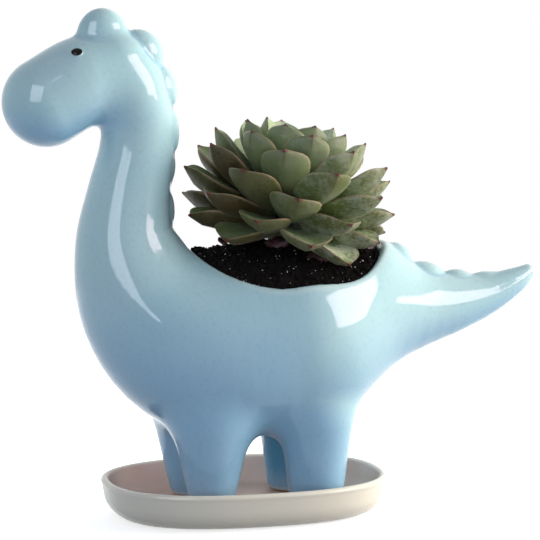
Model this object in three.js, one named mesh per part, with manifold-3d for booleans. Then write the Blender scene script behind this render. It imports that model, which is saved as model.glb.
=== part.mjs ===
// Long-necked dinosaur planter in glazed ceramic, with its saucer, soil and a rosette succulent.
// Millimetres, +Z up. The origin is the middle of the saucer's underside and the head looks along -X.
import * as THREE from 'three';
import { mergeVertices } from 'three/addons/utils/BufferGeometryUtils.js';
import Module from 'manifold-3d';

const wasm = await Module();
wasm.setup();

// Fits
const restGap = 0.3; // between pieces that rest on or in one another
const leafGap = 0.4; // between neighbouring leaves

// Saucer
const saucerHeight = 13.6;
const saucerFloor = 4;
const saucerWall = 2.8;
const saucerFlare = 3.2; // how far the rim stands out past the foot of the wall
const saucerBaseRound = 5; // radius under the outside edge
const saucerEndRoom = 16.8; // free floor past the feet, lengthways
const saucerSideRoom = 5.7; // free floor past the feet, sideways
const saucerPower = 2.15; // 2 is a plain ellipse, more is squarer

// Legs
const stanceLength = 38.7; // front feet to hind feet
const stanceInset = 11.3; // the feet stand this far in from the sides of the barrel
const stanceShift = 3.3; // the feet stand this far toward the tail of the saucer's middle
const frontFootRadius = 8.2;
const hindFootRadius = 9.8;
const frontHipRadius = 13.8;
const hindHipRadius = 13;
const hipHeight = 30; // above the saucer's floor
const footRound = 5; // height of the rounding at the edge of the foot
const legBlend = 9; // softness of the joint between leg and belly

// Bowl in the back
const bowlLength = 72.6;
const bowlWidth = 58;
const bowlShift = 11; // the bowl's middle sits this far toward the tail of the feet
const bowlFloorThickness = 6;
const bowlDraft = 0.16; // the wall closes in by this much for each millimetre of depth
const bowlRound = 12; // radius between wall and floor
const lipReach = 2.4; // how far the rounded lip runs down each side of the edge
const drainDiameter = 9;

// Barrel and neck
const shoulderCover = 7.6; // ceramic standing outside the mouth on each side
const barrelClearance = 25.4; // belly above the feet
const barrelSetback = 2.3; // middle of the barrel behind the middle of the bowl
const bellyRadius = 34.4;
const bellyReach = 27.3; // belly ahead of the middle of the bowl
const bellyDrop = 2.6; // belly below the middle of the barrel
const chestRadius = 26.2;
const chestReach = 11.5; // chest ahead of the front end of the mouth
const chestRise = 9.7; // chest above the middle of the barrel
const neckRadius = 12.8;
const neckBaseRadius = 18;
const neckSetback = 4.6; // neck surface ahead of the front end of the mouth
const neckRise = 76.7; // narrowest place of the neck above the middle of the barrel
const neckReach = 4.2; // foot of the neck ahead of its narrowest place

// Head: reach is ahead of the neck, rise is above the narrowest place of the neck
const muzzleRadius = 15.9;
const muzzleReach = 32.6;
const muzzleRise = 7.9;
const browRadius = 15.3;
const browReach = 19.1;
const browRise = 15.7;
const pateRadius = 12.3;
const pateReach = 11.2;
const pateRise = 19.2;
const skullRadius = 11.6;
const skullReach = 6.4;
const skullRise = 20;
const napeRadius = 13.6;
const napeReach = 3;
const napeRise = 11.4;
const headBlend = 6; // softness of the joint between head and neck

// Tail
const haunchRadius = 14.3;
const haunchInset = 3.1; // haunch ahead of the back end of the mouth
const haunchRise = 15.4; // haunch above the middle of the barrel
const tailRootRadius = 15;
const tailTipRadius = 2.7;
const tailLength = 59.1; // behind the mouth
const tailTipRise = 17.6; // above the middle of the barrel
const tailBlend = 24; // softness of the joint between tail and barrel

// Crest plates on head, neck and tail
const plateLength = 18.6; // the longest plate
const plateRise = 8.7; // the tallest plate above the skin
const plateThickness = 13; // the thickest plate, from side to side
const plateSink = 2.5; // root of a plate below the skin
const plateSides = 12;

// Eyes
const eyeLength = 4.4;
const eyeHeight = 3.4;
const eyeDepth = 2.4;
const eyeAngle = 50; // degrees up from the side of the head
const eyeShare = 0.64; // of the way from the muzzle to the brow

// Soil and drain screen
const soilDrop = 2.6; // soil below the sharp edge of the mouth
const soilSwell = 9; // how far the soil follows the rim up toward neck and tail
const soilMound = 13; // middle of the soil above its lowest edge
const screenDiameter = 18;
const screenThickness = 0.8;
const screenHole = 1.8;
const screenPitch = 3;

// Plant
const leafCount = 48;
const leafWidth = 19;
const leafThickness = 5.4;
const leafCupDepth = 3; // edges of a leaf above its middle
const leafCurlShare = 0.42; // upward curl of a young leaf
const skirtCurlShare = -0.18; // upward curl of the outermost leaf
const leafReach = 35.5; // crown to tip of a full-grown leaf
const heartReach = 22.5; // crown to tip of the innermost leaf
const heartShare = 0.47; // share of the leaves that are still growing
const heartAngle = 73.4; // degrees above level, innermost leaf
const skirtAngle = -33; // degrees above level, outermost leaf
const openingPower = 0.78; // how early the leaves open from heart to skirt
const skirtDrop = 5.3; // crown height lost by the outermost tips
const crownRise = 22; // crown above the soil
const crownShift = 3; // crown this far toward the tail of the bowl's middle
const crownLeanAngle = 9.7; // degrees toward the tail
const crownSpan = 18; // length of stem that carries leaves
const stemRadius = 4.6;
const stemDepth = 14; // below the soil
const budHeight = 12; // closed bud above the crown
const firstLeafAngle = 287; // degrees

// Facets
const coneCount = 6;
const skinStep = 6.9; // grid of the ceramic skin
const tailStep = 4; // finer grid along the tail and across the middle
const mouthSides = 32;
const saucerSides = 36;
const leafSides = 6;

// Places that follow from the sizes
const footZ = saucerFloor + restGap;
const barrelRadius = bowlWidth / 2 + shoulderCover;
const barrelZ = footZ + barrelClearance + barrelRadius;
const stanceWidth = 2 * (barrelRadius - stanceInset - hindFootRadius);
const bowlX = stanceShift + bowlShift;
const mouthFront = bowlX - bowlLength / 2;
const mouthBack = bowlX + bowlLength / 2;
const bowlFloorZ = footZ + barrelClearance + bowlFloorThickness;
const neckX = mouthFront - neckSetback - neckRadius;
const neckZ = barrelZ + neckRise;

// Materials
const finish = (color, roughness) => new THREE.MeshStandardMaterial({ color, roughness, metalness: 0 });
const blueGlaze = finish(0xa9d0da, 0.12);
const blackGlaze = finish(0x0c0b0c, 0.1);
const creamGlaze = finish(0xd8d3c8, 0.18);
const darkSoil = finish(0x1a1512, 0.95);
const screenPlastic = finish(0x2b2f2d, 0.6);
const stemSkin = finish(0x6f7a58, 0.7);
const leafSkin = finish(0x7f8f70, 0.55);

// A closed solid from points and triangles
function solid(points, triangles) {
  const mesh = new wasm.Mesh({
    numProp: 3,
    vertProperties: new Float32Array(points.flat()),
    triVerts: new Uint32Array(triangles.flat()),
  });
  return new wasm.Manifold(mesh);
}

// A closed solid from a three.js geometry
function solidFrom(geometry) {
  geometry.deleteAttribute('normal');
  geometry.deleteAttribute('uv');
  const merged = mergeVertices(geometry, 1e-4);
  const position = merged.getAttribute('position');
  const points = Array.from({ length: position.count }, (_, i) => new THREE.Vector3()
    .fromBufferAttribute(position, i)
    .toArray());
  const index = Array.from(merged.getIndex().array);
  const triangles = [];
  for (let i = 0; i < index.length; i += 3) {
    const corners = index.slice(i, i + 3);
    if (new Set(corners).size === 3) triangles.push(corners);
  }
  return solid(points, triangles);
}

// The largest of the separate bodies that a cut has left
function largestBody(body) {
  const { vertProperties, triVerts } = body.getMesh();
  const corner = (i) => new THREE.Vector3().fromArray(vertProperties, 3 * i);
  const owner = Array.from({ length: vertProperties.length / 3 }, (_, i) => i);
  const root = (i) => (owner[i] === i ? i : root(owner[i]));
  const triangles = [];
  for (let t = 0; t < triVerts.length; t += 3) {
    const triangle = Array.from(triVerts.slice(t, t + 3));
    const first = root(triangle[0]);
    for (const i of triangle) owner[root(i)] = first;
    triangles.push(triangle);
  }
  const bodies = Map.groupBy(triangles, (triangle) => root(triangle[0]));
  const volume = (faces) => faces.reduce((sum, [a, b, c]) => sum + corner(a).dot(corner(b).cross(corner(c))), 0);
  const [largest] = [...bodies.values()].sort((a, b) => volume(b) - volume(a));
  return solid(owner.map((_, i) => corner(i).toArray()), largest);
}

// A named mesh from a solid
function piece(name, body, material) {
  const { vertProperties, triVerts } = body.getMesh();
  const geometry = new THREE.BufferGeometry();
  geometry.setAttribute('position', new THREE.BufferAttribute(new Float32Array(vertProperties), 3));
  geometry.setIndex(new THREE.BufferAttribute(new Uint32Array(triVerts), 1));
  geometry.computeVertexNormals();
  const mesh = new THREE.Mesh(geometry, material);
  mesh.name = name;
  return mesh;
}

// Middle of a ring of points
function ringMiddle(ring) {
  return [0, 1, 2].map((axis) => ring.reduce((sum, point) => sum + point[axis], 0) / ring.length);
}

// A skin over a stack of equal rings, closed at the middle of the first ring and at an end point
function loft(rings, end = ringMiddle(rings.at(-1))) {
  const count = rings[0].length;
  const points = rings.flat();
  const triangles = [];
  for (let row = 0; row + 1 < rings.length; row += 1) {
    for (let k = 0; k < count; k += 1) {
      const a = row * count + k;
      const b = row * count + (k + 1) % count;
      triangles.push([a, b, b + count], [a, b + count, a + count]);
    }
  }
  const lastRow = (rings.length - 1) * count;
  const first = points.push(ringMiddle(rings[0])) - 1;
  const last = points.push(end) - 1;
  for (let k = 0; k < count; k += 1) {
    const next = (k + 1) % count;
    triangles.push([first, next, k], [last, lastRow + k, lastRow + next]);
  }
  return solid(points, triangles);
}

// Centre lines of head, trunk and tail; each station is along, half thickness, height
const headStations = [
  [neckX - muzzleReach, muzzleRadius, neckZ + muzzleRise],
  [neckX - browReach, browRadius, neckZ + browRise],
  [neckX - pateReach, pateRadius, neckZ + pateRise],
];
const trunkStations = [
  [neckX - skullReach, skullRadius, neckZ + skullRise],
  [neckX - napeReach, napeRadius, neckZ + napeRise],
  [neckX, neckRadius, neckZ],
  [neckX - 0.05 * neckReach, 0.92 * neckRadius + 0.08 * neckBaseRadius, barrelZ + 0.864 * neckRise],
  [neckX - 0.76 * neckReach, 0.6 * neckRadius + 0.4 * neckBaseRadius, barrelZ + 0.649 * neckRise],
  [neckX - neckReach, neckBaseRadius, barrelZ + 0.42 * neckRise],
  [mouthFront - chestReach, chestRadius, barrelZ + chestRise],
  [bowlX - bellyReach, bellyRadius, barrelZ - bellyDrop],
  [bowlX + barrelSetback, barrelRadius, barrelZ],
];
const tailStations = [
  [mouthBack - haunchInset, haunchRadius, barrelZ + haunchRise],
  [mouthBack + 0.154 * tailLength, tailRootRadius, barrelZ + 0.403 * tailTipRise],
  [mouthBack + 0.638 * tailLength, 0.56 * tailRootRadius, barrelZ + 0.5 * tailTipRise],
  [mouthBack + 0.919 * tailLength, 0.3 * tailRootRadius, barrelZ + 0.835 * tailTipRise],
  [mouthBack + tailLength, tailTipRadius, barrelZ + tailTipRise],
];

// A smooth line through stations, and the short cones that follow it
const throughStations = (stations) => {
  const points = stations.map((station) => new THREE.Vector3(...station));
  return new THREE.CatmullRomCurve3(points, false, 'centripetal');
};
const headLine = throughStations(headStations);
const trunkLine = throughStations(trunkStations);
const tailLine = throughStations(tailStations);
const lineChain = (line) => line.getPoints((line.points.length - 1) * coneCount);
const headChain = lineChain(headLine);
const trunkChain = lineChain(trunkLine);
const tailChain = lineChain(tailLine);

// Distance to a cone with round ends between two spine points
function coneDistance(x, y, z, a, b) {
  const along = [b.x - a.x, b.z - a.z];
  const length2 = along[0] ** 2 + along[1] ** 2;
  const taper = a.y - b.y;
  const slope2 = length2 - taper ** 2;
  const from = [x - a.x, z - a.z];
  const near = from[0] * along[0] + from[1] * along[1];
  const far = near - length2;
  const side = [from[0] * length2 - along[0] * near, y * length2, from[1] * length2 - along[1] * near];
  const side2 = side[0] ** 2 + side[1] ** 2 + side[2] ** 2;
  const near2 = near ** 2 * length2;
  const far2 = far ** 2 * length2;
  const edge = Math.sign(taper) * taper ** 2 * side2;
  if (Math.sign(far) * slope2 * far2 > edge) return Math.sqrt(side2 + far2) / length2 - b.y;
  if (Math.sign(near) * slope2 * near2 < edge) return Math.sqrt(side2 + near2) / length2 - a.y;
  return (Math.sqrt(side2 * slope2 / length2) + near * taper) / length2 - a.y;
}

// Legs are upright cones from the foot to the hip
const legs = [];
for (const side of [-1, 1]) {
  legs.push({ x: stanceShift - stanceLength / 2, side, foot: frontFootRadius, hip: frontHipRadius });
  legs.push({ x: stanceShift + stanceLength / 2, side, foot: hindFootRadius, hip: hindHipRadius });
}
function legDistance(x, y, z, leg) {
  const foot = new THREE.Vector3(footZ + footRound, leg.foot, 0);
  const hip = new THREE.Vector3(footZ + hipHeight, leg.hip, 0);
  return coneDistance(z, y - leg.side * stanceWidth / 2, x - leg.x, foot, hip);
}

// Two distances joined with a soft fillet
function softUnion(a, b, blend) {
  const overlap = Math.max(blend - Math.abs(a - b), 0) / blend;
  return Math.min(a, b) - overlap ** 2 * blend / 4;
}

// Distance to a chain of cones
function chainDistance(x, y, z, chain) {
  let distance = Infinity;
  for (let i = 0; i + 1 < chain.length; i += 1) {
    distance = Math.min(distance, coneDistance(x, y, z, chain[i], chain[i + 1]));
  }
  return distance;
}

// Distance to the outside of the ceramic animal, negative inside
function skinDistance(x, y, z) {
  let distance = chainDistance(x, y, z, trunkChain);
  distance = softUnion(distance, chainDistance(x, y, z, headChain), headBlend);
  distance = softUnion(distance, chainDistance(x, y, z, tailChain), tailBlend);
  for (const leg of legs) distance = softUnion(distance, legDistance(x, y, z, leg), legBlend);
  return distance;
}

// Outward direction of the skin near a point
function skinNormal(x, y, z) {
  const d = 0.05;
  return new THREE.Vector3(
    skinDistance(x + d, y, z) - skinDistance(x - d, y, z),
    skinDistance(x, y + d, z) - skinDistance(x, y - d, z),
    skinDistance(x, y, z + d) - skinDistance(x, y, z - d),
  ).normalize();
}

// Net of quads over the zero level of a distance field, one corner for each grid cell that it crosses
function skinNet(field, lines) {
  const counts = lines.map((line) => line.length);
  const strides = [1, counts[0], counts[0] * counts[1]];
  const index = (cell) => cell[0] + cell[1] * strides[1] + cell[2] * strides[2];
  const place = (cell) => cell.map((step, axis) => lines[axis][step]);
  const values = new Float64Array(counts[0] * counts[1] * counts[2]);
  const cells = [];
  for (let k = 0; k < counts[2]; k += 1) {
    for (let j = 0; j < counts[1]; j += 1) {
      for (let i = 0; i < counts[0]; i += 1) {
        const cell = [i, j, k];
        cells.push(cell);
        values[index(cell)] = field(...place(cell));
      }
    }
  }
  const points = [];
  const corner = new Map();
  for (const cell of cells) {
    if (cell.some((step, axis) => step + 1 >= counts[axis])) continue;
    const spot = new THREE.Vector3();
    let crossings = 0;
    for (let axis = 0; axis < 3; axis += 1) {
      const [u, v] = [(axis + 1) % 3, (axis + 2) % 3];
      for (const [du, dv] of [[0, 0], [1, 0], [0, 1], [1, 1]]) {
        const start = [...cell];
        start[u] += du;
        start[v] += dv;
        const a = values[index(start)];
        const b = values[index(start) + strides[axis]];
        if (a < 0 === b < 0) continue;
        const hit = place(start);
        hit[axis] += (lines[axis][start[axis] + 1] - hit[axis]) * a / (a - b);
        spot.add(new THREE.Vector3(...hit));
        crossings += 1;
      }
    }
    if (crossings === 0) continue;
    spot.divideScalar(crossings);
    for (let pass = 0; pass < 3; pass += 1) {
      spot.addScaledVector(skinNormal(spot.x, spot.y, spot.z), -field(spot.x, spot.y, spot.z));
    }
    corner.set(index(cell), points.push(spot.toArray()) - 1);
  }
  const triangles = [];
  for (const cell of cells) {
    for (let axis = 0; axis < 3; axis += 1) {
      const [u, v] = [(axis + 1) % 3, (axis + 2) % 3];
      if (cell[axis] + 1 >= counts[axis] || cell[u] === 0 || cell[v] === 0) continue;
      const here = index(cell);
      const inside = values[here] < 0;
      if (inside === values[here + strides[axis]] < 0) continue;
      const quad = [here - strides[u] - strides[v], here - strides[v], here, here - strides[u]]
        .map((spot) => corner.get(spot));
      if (!inside) quad.reverse();
      const [a, b, c, d] = quad;
      const span = (from, to) => Math.hypot(...points[from].map((value, i) => value - points[to][i]));
      if (span(a, c) < span(b, d)) triangles.push([a, b, c], [a, c, d]);
      else triangles.push([a, b, d], [b, c, d]);
    }
  }
  return solid(points, triangles);
}

// Height where the skin ends above a point inside the barrel
function skinTop(x, y) {
  let low = barrelZ;
  const rise = 1;
  while (skinDistance(x, y, low + rise) < 0) low += rise;
  let high = low + rise;
  for (let pass = 0; pass < 20; pass += 1) {
    const middle = (low + high) / 2;
    if (skinDistance(x, y, middle) < 0) low = middle;
    else high = middle;
  }
  return low;
}

// Rings of the bowl: a point for each turn, at an inset from the mouth's oval and a height
function bowlPlace(turn, inset) {
  const angle = 2 * Math.PI * turn / mouthSides;
  return [
    bowlX + (bowlLength / 2 - inset) * Math.cos(angle),
    (bowlWidth / 2 - inset) * Math.sin(angle),
  ];
}
function bowlRing(insetAt, heightAt) {
  return Array.from({ length: mouthSides }, (_, turn) => {
    const [x, y] = bowlPlace(turn, insetAt(turn));
    return [x, y, heightAt(turn)];
  });
}
const rimHeight = Array.from({ length: mouthSides }, (_, turn) => skinTop(...bowlPlace(turn, 0)));
const lipHeight = Array.from({ length: mouthSides }, (_, turn) => skinTop(...bowlPlace(turn, -lipReach)));

// Rings from a given height at each turn down to the floor, with the corner rounded
function bowlRings(wallTop, inset, floorLift) {
  const floor = bowlFloorZ + floorLift;
  const wallFoot = floor + bowlRound;
  const draftAt = (turn, height) => inset + bowlDraft * (rimHeight[turn] - height);
  const wall = [0, 0.5, 1].map((share) => {
    const height = (turn) => wallTop(turn) + (wallFoot - wallTop(turn)) * share;
    return bowlRing((turn) => draftAt(turn, height(turn)), height);
  });
  const corner = [0.33, 0.67, 1].map((share) => {
    const angle = share * Math.PI / 2;
    return bowlRing(
      (turn) => draftAt(turn, wallFoot) + bowlRound * (1 - Math.cos(angle)),
      () => wallFoot - bowlRound * Math.sin(angle),
    );
  });
  return [...wall, ...corner];
}

// The space cut for the bowl: above the mouth, round the lip, down the wall
function bowlSpace() {
  const clear = 2;
  const backTop = Math.max(skinTop(bowlX, 0), ...rimHeight) + clear;
  const above = bowlRing(() => 0, () => backTop);
  const outside = bowlRing(() => -lipReach, (turn) => lipHeight[turn] + restGap);
  const lip = [0, 0.33, 0.67].map((t) => bowlRing(
    () => -lipReach * (1 - t) ** 2,
    (turn) => lipHeight[turn] * (1 - t) ** 2 + rimHeight[turn] * (1 - (1 - t) ** 2) - lipReach * t ** 2,
  ));
  return loft([above, outside, ...lip, ...bowlRings((turn) => rimHeight[turn] - lipReach, 0, 0)].reverse());
}

// Point of the skin straight out from a point inside the animal
function skinPoint(inside, out) {
  const spot = inside.clone();
  for (let pass = 0; pass < 30; pass += 1) {
    spot.addScaledVector(out, -skinDistance(spot.x, spot.y, spot.z));
  }
  return spot;
}

// Point on the centre line of head, trunk or tail
function lineCentre(line, station) {
  const { x, z } = line.getPoint(station / (line.points.length - 1));
  return new THREE.Vector3(x, 0, z);
}

// Crest plates: where each stands, its turn from upright toward the tail, its shares of the full sizes
const crest = [
  { line: headLine, station: 2, turn: -5, length: 1, rise: 1, thickness: 1 },
  { line: trunkLine, station: 0.26, turn: 47, length: 0.96, rise: 0.59, thickness: 1 },
  { line: trunkLine, station: 1.2, turn: 76, length: 0.92, rise: 0.43, thickness: 0.95 },
  { line: trunkLine, station: 2.39, turn: 86, length: 1, rise: 0.3, thickness: 0.85 },
  { line: trunkLine, station: 3.33, turn: 98, length: 0.88, rise: 0.16, thickness: 0.8 },
  { line: trunkLine, station: 4.29, turn: 87, length: 0.96, rise: 0.22, thickness: 0.85 },
  { line: tailLine, station: 0.2, turn: 35, length: 0.7, rise: 0.3, thickness: 0.9 },
  { line: tailLine, station: 1.22, turn: 17, length: 0.82, rise: 0.29, thickness: 0.9 },
  { line: tailLine, station: 1.7, turn: 7, length: 0.68, rise: 0.19, thickness: 0.65 },
  { line: tailLine, station: 2.2, turn: -2, length: 0.77, rise: 0.11, thickness: 0.5 },
];

// A plate of the crest: an oval button half sunk in the back of the animal
function crestPlate({ line, station, turn, length, rise, thickness }) {
  const lean = turn * Math.PI / 180;
  const out = new THREE.Vector3(Math.sin(lean), 0, Math.cos(lean));
  const seat = skinPoint(lineCentre(line, station), out).addScaledVector(out, -plateSink);
  const plate = new THREE.SphereGeometry(1, plateSides, plateSides * 2 / 3);
  plate.scale(length * plateLength / 2, thickness * plateThickness / 2, rise * plateRise + plateSink);
  plate.rotateY(lean).translate(...seat);
  return solidFrom(plate);
}

// An eye: a bead of glaze lying in a shallow dimple on each side of the head
function eyeBead(side, grow) {
  const angle = eyeAngle * Math.PI / 180;
  const out = new THREE.Vector3(0, side * Math.cos(angle), Math.sin(angle));
  const spot = skinPoint(lineCentre(headLine, eyeShare), out);
  const normal = skinNormal(spot.x, spot.y, spot.z);
  const bead = new THREE.SphereGeometry(1, 12, 6);
  bead.scale(eyeLength / 2 + grow, eyeHeight / 2 + grow, eyeDepth / 2 + grow);
  const frame = new THREE.Matrix4().lookAt(normal, new THREE.Vector3(), new THREE.Vector3(0, 0, 1));
  bead.applyMatrix4(frame.setPosition(spot));
  return solidFrom(bead);
}

// Grid lines from one value to another with a step that depends on the place
function gridLines(from, to, stepAt) {
  const lines = [from];
  while (lines.at(-1) < to) lines.push(lines.at(-1) + stepAt(lines.at(-1)));
  return lines;
}

// The pot: skin, crest, flat feet, bowl, drain hole and eye dimples
function potSolid() {
  const front = headStations[0][0] - muzzleRadius - skinStep;
  const back = mouthBack + tailLength + tailTipRadius + tailStep;
  const reach = barrelRadius + skinStep;
  const top = neckZ + browRise + browRadius + skinStep;
  const side = gridLines(tailStep, reach, (y) => (y < neckRadius ? tailStep : skinStep));
  const tipZ = barrelZ + tailTipRise;
  const rowsBelow = Math.ceil((tipZ - footZ + hindFootRadius) / skinStep) + 1;
  const lines = [
    gridLines(front, back, (x) => (x < mouthBack ? skinStep : tailStep)),
    [...side.map((y) => -y).reverse(), 0, ...side],
    gridLines(tipZ - rowsBelow * skinStep, top, () => skinStep),
  ];
  let pot = skinNet(skinDistance, lines);
  for (const plate of crest) pot = pot.add(crestPlate(plate));
  const below = new THREE.BoxGeometry(2 * stanceLength + bowlLength, 2 * reach, 2 * hindFootRadius);
  below.translate(stanceShift, 0, footZ - hindFootRadius);
  const drain = new THREE.CylinderGeometry(drainDiameter / 2, drainDiameter / 2, barrelRadius, 20);
  drain.rotateX(Math.PI / 2).translate(bowlX, 0, bowlFloorZ - barrelRadius / 2 + 1);
  pot = pot.subtract(solidFrom(below)).subtract(bowlSpace()).subtract(solidFrom(drain));
  for (const side of [-1, 1]) pot = pot.subtract(eyeBead(side, restGap));
  return pot;
}

// Saucer: an oval dish with a rounded bottom edge, a flared wall and a rounded rim
function saucerSolid() {
  const halfLength = stanceLength / 2 + hindFootRadius + saucerEndRoom;
  const halfWidth = stanceWidth / 2 + hindFootRadius + saucerSideRoom;
  const ring = (grow, height) => Array.from({ length: saucerSides }, (_, turn) => {
    const angle = 2 * Math.PI * turn / saucerSides;
    const power = (value) => Math.sign(value) * Math.abs(value) ** (2 / saucerPower);
    return [
      (halfLength + grow) * power(Math.cos(angle)),
      (halfWidth + grow) * power(Math.sin(angle)),
      height,
    ];
  });
  const flareAt = (height) => saucerFlare * height / saucerHeight;
  const arc = (steps, from, to) => Array.from({ length: steps + 1 }, (_, i) => from + (to - from) * i / steps);
  const outside = arc(3, -90, 0).map((degrees) => {
    const angle = degrees * Math.PI / 180;
    const height = saucerBaseRound * (1 + Math.sin(angle));
    return ring(saucerWall + flareAt(height) - saucerBaseRound * (1 - Math.cos(angle)), height);
  });
  const rimRound = saucerWall / 2;
  const rim = arc(4, 0, 180).map((degrees) => {
    const angle = degrees * Math.PI / 180;
    const height = saucerHeight - rimRound * (1 - Math.sin(angle));
    return ring(flareAt(saucerHeight) + rimRound * (1 + Math.cos(angle)), height);
  });
  const insideRound = saucerBaseRound - saucerWall / 2;
  const inside = arc(2, 0, 90).map((degrees) => {
    const angle = degrees * Math.PI / 180;
    const height = saucerFloor + insideRound * (1 - Math.sin(angle));
    return ring(flareAt(height) - insideRound * (1 - Math.cos(angle)), height);
  });
  return loft([...outside, ...rim, ...inside]);
}

// Drain screen: a thin disc with square holes, lying over the drain hole
function screenDisc(grow) {
  const radius = screenDiameter / 2 + grow;
  const disc = new THREE.CylinderGeometry(radius, radius, screenThickness + 2 * grow, 24);
  disc.rotateX(Math.PI / 2).translate(bowlX, 0, bowlFloorZ + restGap + screenThickness / 2);
  return solidFrom(disc);
}
function screenSolid() {
  let screen = screenDisc(0);
  const rows = Math.floor(screenDiameter / 2 / screenPitch);
  const rimWidth = screenPitch - screenHole;
  for (let i = -rows; i <= rows; i += 1) {
    for (let j = -rows; j <= rows; j += 1) {
      const corner = screenHole / 2 * Math.SQRT2;
      if (Math.hypot(i, j) * screenPitch + corner + rimWidth > screenDiameter / 2) continue;
      const hole = new THREE.BoxGeometry(screenHole, screenHole, 4 * screenThickness);
      hole.translate(bowlX + i * screenPitch, j * screenPitch, bowlFloorZ + restGap + screenThickness / 2);
      screen = screen.subtract(solidFrom(hole));
    }
  }
  return screen;
}

// Height of the soil at a turn, from its edge (share 0) to the middle (share 1)
const rimLow = Math.min(...rimHeight);
const soilMiddle = rimLow - soilDrop + soilMound;
const soilEdge = (turn) => Math.min(rimHeight[turn], rimLow + soilSwell) - soilDrop;
function soilHeight(turn, share) {
  return soilEdge(turn) + (soilMiddle - soilEdge(turn)) * share * (2 - share);
}

// Frame of the rosette: the crown, leaning toward the tail
const crownFrame = new THREE.Matrix4()
  .makeRotationY(crownLeanAngle * Math.PI / 180)
  .setPosition(bowlX + crownShift, 0, soilMiddle + crownRise);

// Outline of the closed bud: share of the stem's radius against share of the bud's height
const budOutline = [[1, 0], [0.93, 0.3], [0.62, 0.68]];

// Stem: a short column set in the soil, with the closed bud of the rosette on top
function stemSolid(grow) {
  const foot = -crownRise - stemDepth - grow;
  const radius = stemRadius + grow;
  const profile = [
    new THREE.Vector2(0, foot),
    new THREE.Vector2(radius, foot),
    ...budOutline.map(([wide, high]) => new THREE.Vector2(radius * wide, budHeight * high)),
    new THREE.Vector2(0, budHeight + grow),
  ];
  const stem = new THREE.LatheGeometry(profile, 12);
  stem.rotateX(Math.PI / 2).applyMatrix4(crownFrame);
  return solidFrom(stem);
}

// Soil: fills the bowl to just under the lip and rises to the stem
function soilSolid() {
  const rings = bowlRings(soilEdge, restGap, restGap).reverse();
  const edgeInset = (turn) => restGap + bowlDraft * (rimHeight[turn] - soilEdge(turn));
  for (const share of [0.35, 0.7]) {
    const inset = (turn) => edgeInset(turn) + (bowlWidth / 2 - edgeInset(turn)) * share;
    rings.push(bowlRing(inset, (turn) => soilHeight(turn, share)));
  }
  return loft(rings).subtract(stemSolid(restGap)).subtract(screenDisc(restGap));
}

// Height of the soil, or of the ceramic outside the mouth, under a point
function groundHeight(x, y) {
  const along = 2 * (x - bowlX) / bowlLength;
  const across = 2 * y / bowlWidth;
  const share = 1 - Math.hypot(along, across);
  const turn = Math.round(mouthSides * (1 + Math.atan2(across, along) / (2 * Math.PI))) % mouthSides;
  if (share > 0) return soilHeight(turn, share);
  return skinDistance(x, y, barrelZ) < 0 ? skinTop(x, y) : barrelZ;
}

// Outline of a leaf: share of the length against share of the half width
const leafOutline = [[0, 0.32], [0.32, 0.58], [0.62, 0.97], [0.82, 0.93], [0.95, 0.5]];

// Midrib of a leaf in the plane of stem and tip, bowed between its root and its tip
function midrib(age, rise) {
  const reach = heartReach + (leafReach - heartReach) * Math.min(1, age / heartShare);
  const start = new THREE.Vector2(stemRadius / 3, -crownSpan * age);
  const tip = new THREE.Vector2(reach * Math.cos(rise), reach * Math.sin(rise));
  tip.add(new THREE.Vector2(0.8 * stemRadius, -skirtDrop * age));
  const chord = tip.clone().sub(start);
  const forward = chord.clone().normalize();
  const upward = new THREE.Vector2(-forward.y, forward.x);
  const bow = leafCurlShare + (skirtCurlShare - leafCurlShare) * age ** 3;
  const sag = (share) => -bow * chord.length() * share * (1 - share);
  const point = (share) => start.clone().addScaledVector(chord, share).addScaledVector(upward, sag(share));
  const normal = (share) => upward.clone().addScaledVector(forward, bow * (1 - 2 * share)).normalize();
  return { point, normal, length: chord.length(), size: Math.sqrt(reach / leafReach) };
}

// Midrib of a leaf opened as far as its age asks, or until it lies on the soil or the rim
const goldenTurn = Math.PI * (3 - Math.sqrt(5));
function placedMidrib(order) {
  const age = order / (leafCount - 1);
  const turn = firstLeafAngle * Math.PI / 180 - order * goldenTurn;
  const spin = new THREE.Matrix4().makeRotationZ(turn).premultiply(crownFrame);
  const place = (p) => new THREE.Vector3(...p).applyMatrix4(spin);
  const clear = leafThickness / 2 + leafGap;
  const touches = (line) => [0.4, 0.6, 0.8, 1].some((share) => {
    const along = line.point(share);
    const spot = place([along.x, 0, along.y]);
    return spot.z - clear < groundHeight(spot.x, spot.y);
  });
  let rise = (heartAngle + (skirtAngle - heartAngle) * age ** openingPower) * Math.PI / 180;
  let line = midrib(age, rise);
  while (touches(line)) {
    rise += Math.PI / 90;
    line = midrib(age, rise);
  }
  return { ...line, place };
}

// A leaf: a fleshy spoon on its midrib, from inside the stem to its pointed tip
function leafSolid({ point, normal, length, size, place }, grow) {
  const rings = leafOutline.map(([share, width]) => {
    const halfWidth = leafWidth / 2 * size * width;
    const halfThick = leafThickness / 2 * size * Math.sqrt(1 - (1.6 * share - 0.7) ** 2);
    return Array.from({ length: leafSides }, (_, k) => {
      const angle = 2 * Math.PI * k / leafSides;
      const face = Math.sin(angle) > 0 ? 0.6 : 1.2;
      const edgeLift = (leafCupDepth * size * width + grow) * Math.cos(angle) ** 2;
      const lift = (halfThick * face + 1.3 * grow) * Math.sin(angle) + edgeLift;
      const out = point(share).addScaledVector(normal(share), lift);
      return place([out.x, (halfWidth + 2 * grow) * Math.cos(angle), out.y]).toArray();
    });
  });
  const tip = point(1 + grow / length);
  return loft(rings, place([tip.x, 0, tip.y]).toArray());
}

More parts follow.
